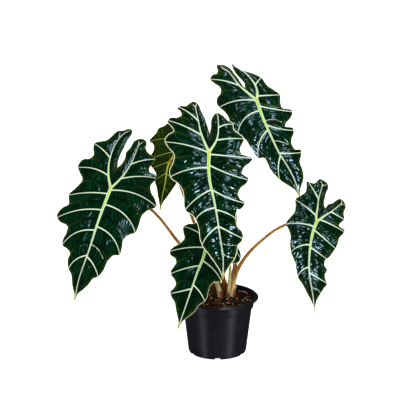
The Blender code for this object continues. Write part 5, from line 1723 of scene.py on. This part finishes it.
class LeafLooks(PropertyGroup):
    """Sizes of the leaves' fine relief and mesh."""
    fullness: measure("Fullness", "Extra fullness of the panels between veins", 0.9 * MM)
    relief_height: measure("Relief height", "Height of the pillows and rungs", 1.3 * MM)
    relief_spacing: measure("Relief spacing", "Distance between pillows or rungs", 6.4 * MM, 0.001)
    column_spacing: measure("Column spacing", "Widest step of the mesh along ribs", 1.6 * MM, 0.0005)
    row_scale: FloatProperty(name="Row scale", description="How many mesh rows lie from rib to margin",
                             default=1.0, min=0.2, max=2.0)


class Colours(PropertyGroup):
    """Colours of the plant, its soil and its pot."""
    upper: colour("Upper side", "Dark ground of the leaves' upper side", (0.0001, 0.0042, 0.0008))
    # Painted light on the relief's crests; the darker ground between them is painted shade
    upper_crest_painted_light: colour("Upper crests", "Crests of the upper side's relief", (0.0005, 0.024, 0.006))
    seam: colour("Seam", "Olive along the middle of each panel", (0.045, 0.085, 0.003))
    upper_vein: colour("Upper veins", "Side veins on the upper side", (0.52, 0.63, 0.42))
    rib: colour("Ribs", "Ribs near the joint", (0.30, 0.56, 0.02))
    rib_end: colour("Rib ends", "Ribs towards their ends", (0.38, 0.60, 0.13))
    margin: colour("Margin", "Thin line along the margin", (0.10, 0.16, 0.012))
    # Painted highlight along some leaves' margins
    margin_painted_highlight: colour("Pale margin", "Pale line along some leaves' margin", (0.95, 0.92, 0.70))
    joint: colour("Joint", "Spot where the petiole meets the ribs", (0.50, 0.42, 0.03))
    tip: colour("Drip tip", "The leaf's very tip", (0.33, 0.25, 0.006))
    under: colour("Underside", "Ground of the leaves' underside", (0.005, 0.019, 0.0003))
    # Painted light on the underside's crests; the darker ground between them is painted shade
    under_crest_painted_light: colour("Underside crests", "Crests of the underside's relief", (0.024, 0.052, 0.001))
    under_vein: colour("Underside veins", "Veins on the underside", (0.36, 0.46, 0.05))
    under_rib: colour("Underside ribs", "Ribs on the underside", (0.50, 0.42, 0.02))
    petiole: colour("Petioles", "Light ground of the petioles", (0.43, 0.19, 0.018))
    # Dark lines along the petioles, also used as the painted shade on their sides
    petiole_lines_and_shade: colour("Petiole lines", "Dark lines along the petioles", (0.16, 0.05, 0.006))
    petiole_pale: colour("Petiole foot", "Cream foot of the petioles", (0.88, 0.72, 0.32))
    petiole_top: colour("Petiole top", "Orange top of the petioles, at the blade", (0.50, 0.27, 0.012))
    # Reddish and dark: the feet's own reddish tone, darkened as painted shade among the crowded stems at
    # the back
    petiole_shaded_foot: colour("Inner foot", "Reddish foot of the petioles at the back", (0.10, 0.035, 0.016))
    young: colour("Young petiole", "Ground of the young leaf's petiole", (0.50, 0.50, 0.08))
    # Lines along the young petiole, also used as the painted shade on its sides
    young_lines_and_shade: colour("Young petiole lines", "Lines along the young petiole", (0.22, 0.24, 0.03))
    sheath: colour("Sheaths", "Dry skin at the petioles' feet", (0.45, 0.10, 0.06))
    sheath_dark: colour("Sheath lines", "Dark lines of the sheaths", (0.12, 0.02, 0.015))
    soil: colour("Soil", "Peat between the bark chips", (0.003, 0.002, 0.0016))
    bark: colour("Bark", "Bark chips", (0.55, 0.19, 0.045))
    bark_dark: colour("Dark bark", "Old, dark bark chips", (0.02, 0.008, 0.004))
    bark_light: colour("Light bark", "Fresh, light bark chips", (0.85, 0.55, 0.25))
    plastic: colour("Pot", "Black plastic of the pot", (0.0045, 0.0044, 0.006))
    floor: colour("Floor", "Floor under the pot", (0.88, 0.88, 0.88))


class StemLooks(PropertyGroup):
    """Sizes of the petioles' relief."""
    groove: measure("Groove", "Depth of the groove along each petiole", 0.25 * MM)


class SoilLooks(PropertyGroup):
    """Sizes of the soil's top and its bark."""
    unevenness: measure("Unevenness", "Height of the soil's lumps", 0.55 * MM)
    bark_count: IntProperty(name="Bark chips", description="Number of bark chips", default=900, min=0)
    bark_size: measure("Bark size", "Usual length of a bark chip", 2.4 * MM, 0.0005)


class StageLooks(PropertyGroup):
    """Powers and strengths of the lights."""
    left_power: power("Left softbox", "Power of the strip on the left of the pot", 6.5)
    right_power: power("Right softbox", "Power of the strip on the right of the pot", 9.0)
    leaf_power: power("Leaf softbox", "Power of the low softboxes in the leaves' gloss", 75.0)
    high_power: power("High softbox", "Power of the softbox high up in front", 12.0)
    overhead: strength("Overhead light", "Strength of the broad overhead light", 3.2)
    sky: strength("Room gloss", "Strength of the room in reflections", 0.04)
    fill: strength("Room light", "Strength of the even light of the room", 0.45)


class AlocasiaSettings(PropertyGroup):
    """All the plant's settings."""
    leaf: PointerProperty(type=LeafLooks)
    stem: PointerProperty(type=StemLooks)
    soil: PointerProperty(type=SoilLooks)
    stage: PointerProperty(type=StageLooks)
    colours: PointerProperty(type=Colours)


# Operators

def settle(piece, slot, *nodes):
    """Fixes a finished piece to the plant and hides the plain nodes it stands for. The slot is not used.
    """
    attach(piece, BODY)
    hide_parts(*nodes)


class ALOCASIA_OT_leaves(Operator):
    """Make the seven leaves, each with its ribs and veins"""
    bl_idname = "alocasia.leaves"
    bl_label = "Leaves"

    def execute(self, context):
        settings = context.scene.alocasia
        materials = [upper_material(settings.colours), under_material(settings.colours)]
        for leaf in LEAVES:
            piece = make_leaf(leaf, settings.leaf, materials)
            slot = "leaf_underside" if leaf.underside else "leaf_upper"
            if leaf.name in LEAF_LIGHTS:
                lit_group(LEAF_LIGHTS[leaf.name]).objects.link(piece)
            settle(piece, slot, leaf.name + "_blade", leaf.name + "_veins")
        return {"FINISHED"}


class ALOCASIA_OT_petioles(Operator):
    """Make the seven petioles, from the soil to the leaves' joints"""
    bl_idname = "alocasia.petioles"
    bl_label = "Petioles"

    def execute(self, context):
        settings = context.scene.alocasia
        looks = settings.colours
        tan = petiole_material("petiole tan", looks.petiole, looks.petiole_lines_and_shade, looks.petiole_pale,
                               looks.petiole_top)
        young = petiole_material("petiole young", looks.young, looks.young_lines_and_shade, looks.petiole_pale,
                                 looks.young)
        # The back petioles' feet take the reddish foot colour, darkened as painted shade among the
        # crowded stems
        inner = petiole_material("petiole inner", looks.petiole, looks.petiole_lines_and_shade, looks.petiole_shaded_foot,
                                 looks.petiole_top)
        materials = {"leaf_young": young, "leaf_left": inner, "leaf_back": inner, "leaf_centre": inner}
        for leaf in LEAVES:
            is_young = leaf is YOUNG_LEAF
            piece = make_petiole(leaf, settings.stem, materials.get(leaf.name, tan))
            settle(piece, "young_petiole" if is_young else "petiole", leaf.name + "_petiole")
        return {"FINISHED"}


class ALOCASIA_OT_sheaths(Operator):
    """Make the dry sheaths at the petioles' feet"""
    bl_idname = "alocasia.sheaths"
    bl_label = "Sheaths"

    def execute(self, context):
        material = sheath_material(context.scene.alocasia.colours)
        for name, leaf, facing, height in SHEATHS:
            settle(make_sheath(name, leaf, facing, height, material), "sheath", name)
        return {"FINISHED"}


class ALOCASIA_OT_soil(Operator):
    """Make the soil and its bark chips"""
    bl_idname = "alocasia.soil"
    bl_label = "Soil"

    def execute(self, context):
        settings = context.scene.alocasia
        settle(make_soil_bed(settings.soil, soil_material(settings.colours)), "soil", "soil")
        settle(make_bark(settings.soil, bark_material(settings.colours)), "soil", "soil")
        return {"FINISHED"}


class ALOCASIA_OT_pot(Operator):
    """Make the nursery pot"""
    bl_idname = "alocasia.pot"
    bl_label = "Pot"

    def execute(self, context):
        looks = context.scene.alocasia.colours
        plastic = pot_material(looks, "pot plastic", 0.45, 0.53, Specular_IOR_Level=0.34,
                               Anisotropic=0.9, Anisotropic_Rotation=0.25)
        rim_plastic = pot_material(looks, "pot rim plastic", 0.28, 0.36, Specular_IOR_Level=0.7)
        pot = make_pot(plastic, rim_plastic)
        lit_group("pot light").objects.link(pot)
        settle(pot, "pot_plastic", "pot")
        return {"FINISHED"}


def add_lamp(name, light, place, target):
    """A lamp at a place, turned to its target."""
    lamp = bpy.data.objects.new(name, light)
    lamp.location = place
    lamp.rotation_euler = (Vector(target) - Vector(place)).to_track_quat("-Z", "Y").to_euler()
    bpy.context.scene.collection.objects.link(lamp)
    return lamp


def lit_group(name):
    """The collection of the pieces that a light with its own pieces falls on."""
    return bpy.data.collections.get(name) or bpy.data.collections.new(name)


def add_box(box, box_power):
    """A softbox facing its target, which falls on its own group of pieces if it has one."""
    light = bpy.data.lights.new(box.name, "AREA")
    light.shape = "RECTANGLE"
    light.size, light.size_y = box.size
    light.energy = box.share * box_power
    target = Vector((0.0, 0.0, box.target))
    turn = radians(box.turn)
    level = box.reach * cos(radians(box.rise))
    place = target + Vector((level * sin(turn), -level * cos(turn), box.reach * sin(radians(box.rise))))
    lamp = add_lamp(box.name, light, place, target)
    if box.group:
        lamp.light_linking.receiver_collection = lit_group(box.group)
    lamp.visible_diffuse = not box.gloss_alone


def add_sky_light(name, light_strength):
    """A broad even light from overhead, which glossy faces don't mirror."""
    light = bpy.data.lights.new(name, "SUN")
    light.energy = light_strength
    light.angle = radians(OVERHEAD_SPREAD)
    lamp = add_lamp(name, light, OVERHEAD_PLACE, (0.0, 0.0, 0.0))
    lamp.visible_glossy = False


def make_room(gloss, fill):
    """An even room: dim in the gloss of the leaves, and pale where it is seen past the floor."""
    world = bpy.data.worlds.new("room")
    world.use_nodes = True
    tree = world.node_tree
    rays = tree.nodes.new("ShaderNodeLightPath")
    background = tree.nodes["Background"]
    background.inputs["Color"].default_value = (0.95, 0.97, 1.0, 1.0)
    lit = work(tree, "MULTIPLY_ADD", rays.outputs["Is Glossy Ray"], gloss - fill, fill)
    lit = work(tree, "MAXIMUM", lit, rays.outputs["Is Camera Ray"])
    put_value(tree, background.inputs["Strength"], lit)
    bpy.context.scene.world = world


class ALOCASIA_OT_stage(Operator):
    """Make the floor, the lights and the camera"""
    bl_idname = "alocasia.stage"
    bl_label = "Stage"

    def execute(self, context):
        settings = context.scene.alocasia
        looks = settings.stage
        turns = np.linspace(0.0, tau, FLOOR_SIDES + 1)
        rings = np.array(FLOOR_RINGS)[:, None]
        points = np.stack([rings * np.cos(turns), rings * np.sin(turns), 0 * rings * turns], axis=-1)
        floor = make_piece("floor", points.reshape(-1, 3) / MM, grid_triangles(*points.shape[:2]),
                           [floor_material(settings.colours)])
        floor.visible_glossy = False
        for box in SOFTBOXES:
            add_box(box, getattr(looks, box.power))
        add_sky_light("overhead light", looks.overhead)
        make_room(looks.sky, looks.fill)
        lens = bpy.data.cameras.new("camera")
        lens.lens = CAMERA_LENS
        lens.sensor_width = CAMERA_SENSOR
        camera = bpy.data.objects.new("camera", lens)
        camera.location = Vector(CAMERA_PLACE) * MM
        camera.rotation_euler = Euler((radians(90.0 - CAMERA_DIP), 0.0, 0.0))
        context.scene.collection.objects.link(camera)
        context.scene.camera = camera
        context.scene.view_settings.view_transform = "Standard"
        return {"FINISHED"}


class ALOCASIA_PT_panel(Panel):
    """The plant's steps and settings in the sidebar"""
    bl_label = "Potted Alocasia"
    bl_space_type = "VIEW_3D"
    bl_region_type = "UI"
    bl_category = "Alocasia"

    def draw(self, context):
        for step_class in STEPS:
            self.layout.operator(step_class.bl_idname)
        settings = context.scene.alocasia
        for group in (settings.leaf, settings.stem, settings.soil, settings.stage, settings.colours):
            box = self.layout.box()
            for label in group.__annotations__:
                box.prop(group, label)


STEPS = (ALOCASIA_OT_stage, ALOCASIA_OT_pot, ALOCASIA_OT_soil, ALOCASIA_OT_petioles,
         ALOCASIA_OT_sheaths, ALOCASIA_OT_leaves)
CLASSES = (LeafLooks, Colours, StemLooks, SoilLooks, StageLooks, AlocasiaSettings, *STEPS,
           ALOCASIA_PT_panel)


def register():
    for item in CLASSES:
        bpy.utils.register_class(item)
    bpy.types.Scene.alocasia = PointerProperty(type=AlocasiaSettings)


def unregister():
    del bpy.types.Scene.alocasia
    for item in reversed(CLASSES):
        bpy.utils.unregister_class(item)


def main():
    register()
    bpy.ops.alocasia.stage()
    bpy.ops.alocasia.pot()
    bpy.ops.alocasia.soil()
    bpy.ops.alocasia.petioles()
    bpy.ops.alocasia.sheaths()
    bpy.ops.alocasia.leaves()


if __name__ == "__main__":
    main()
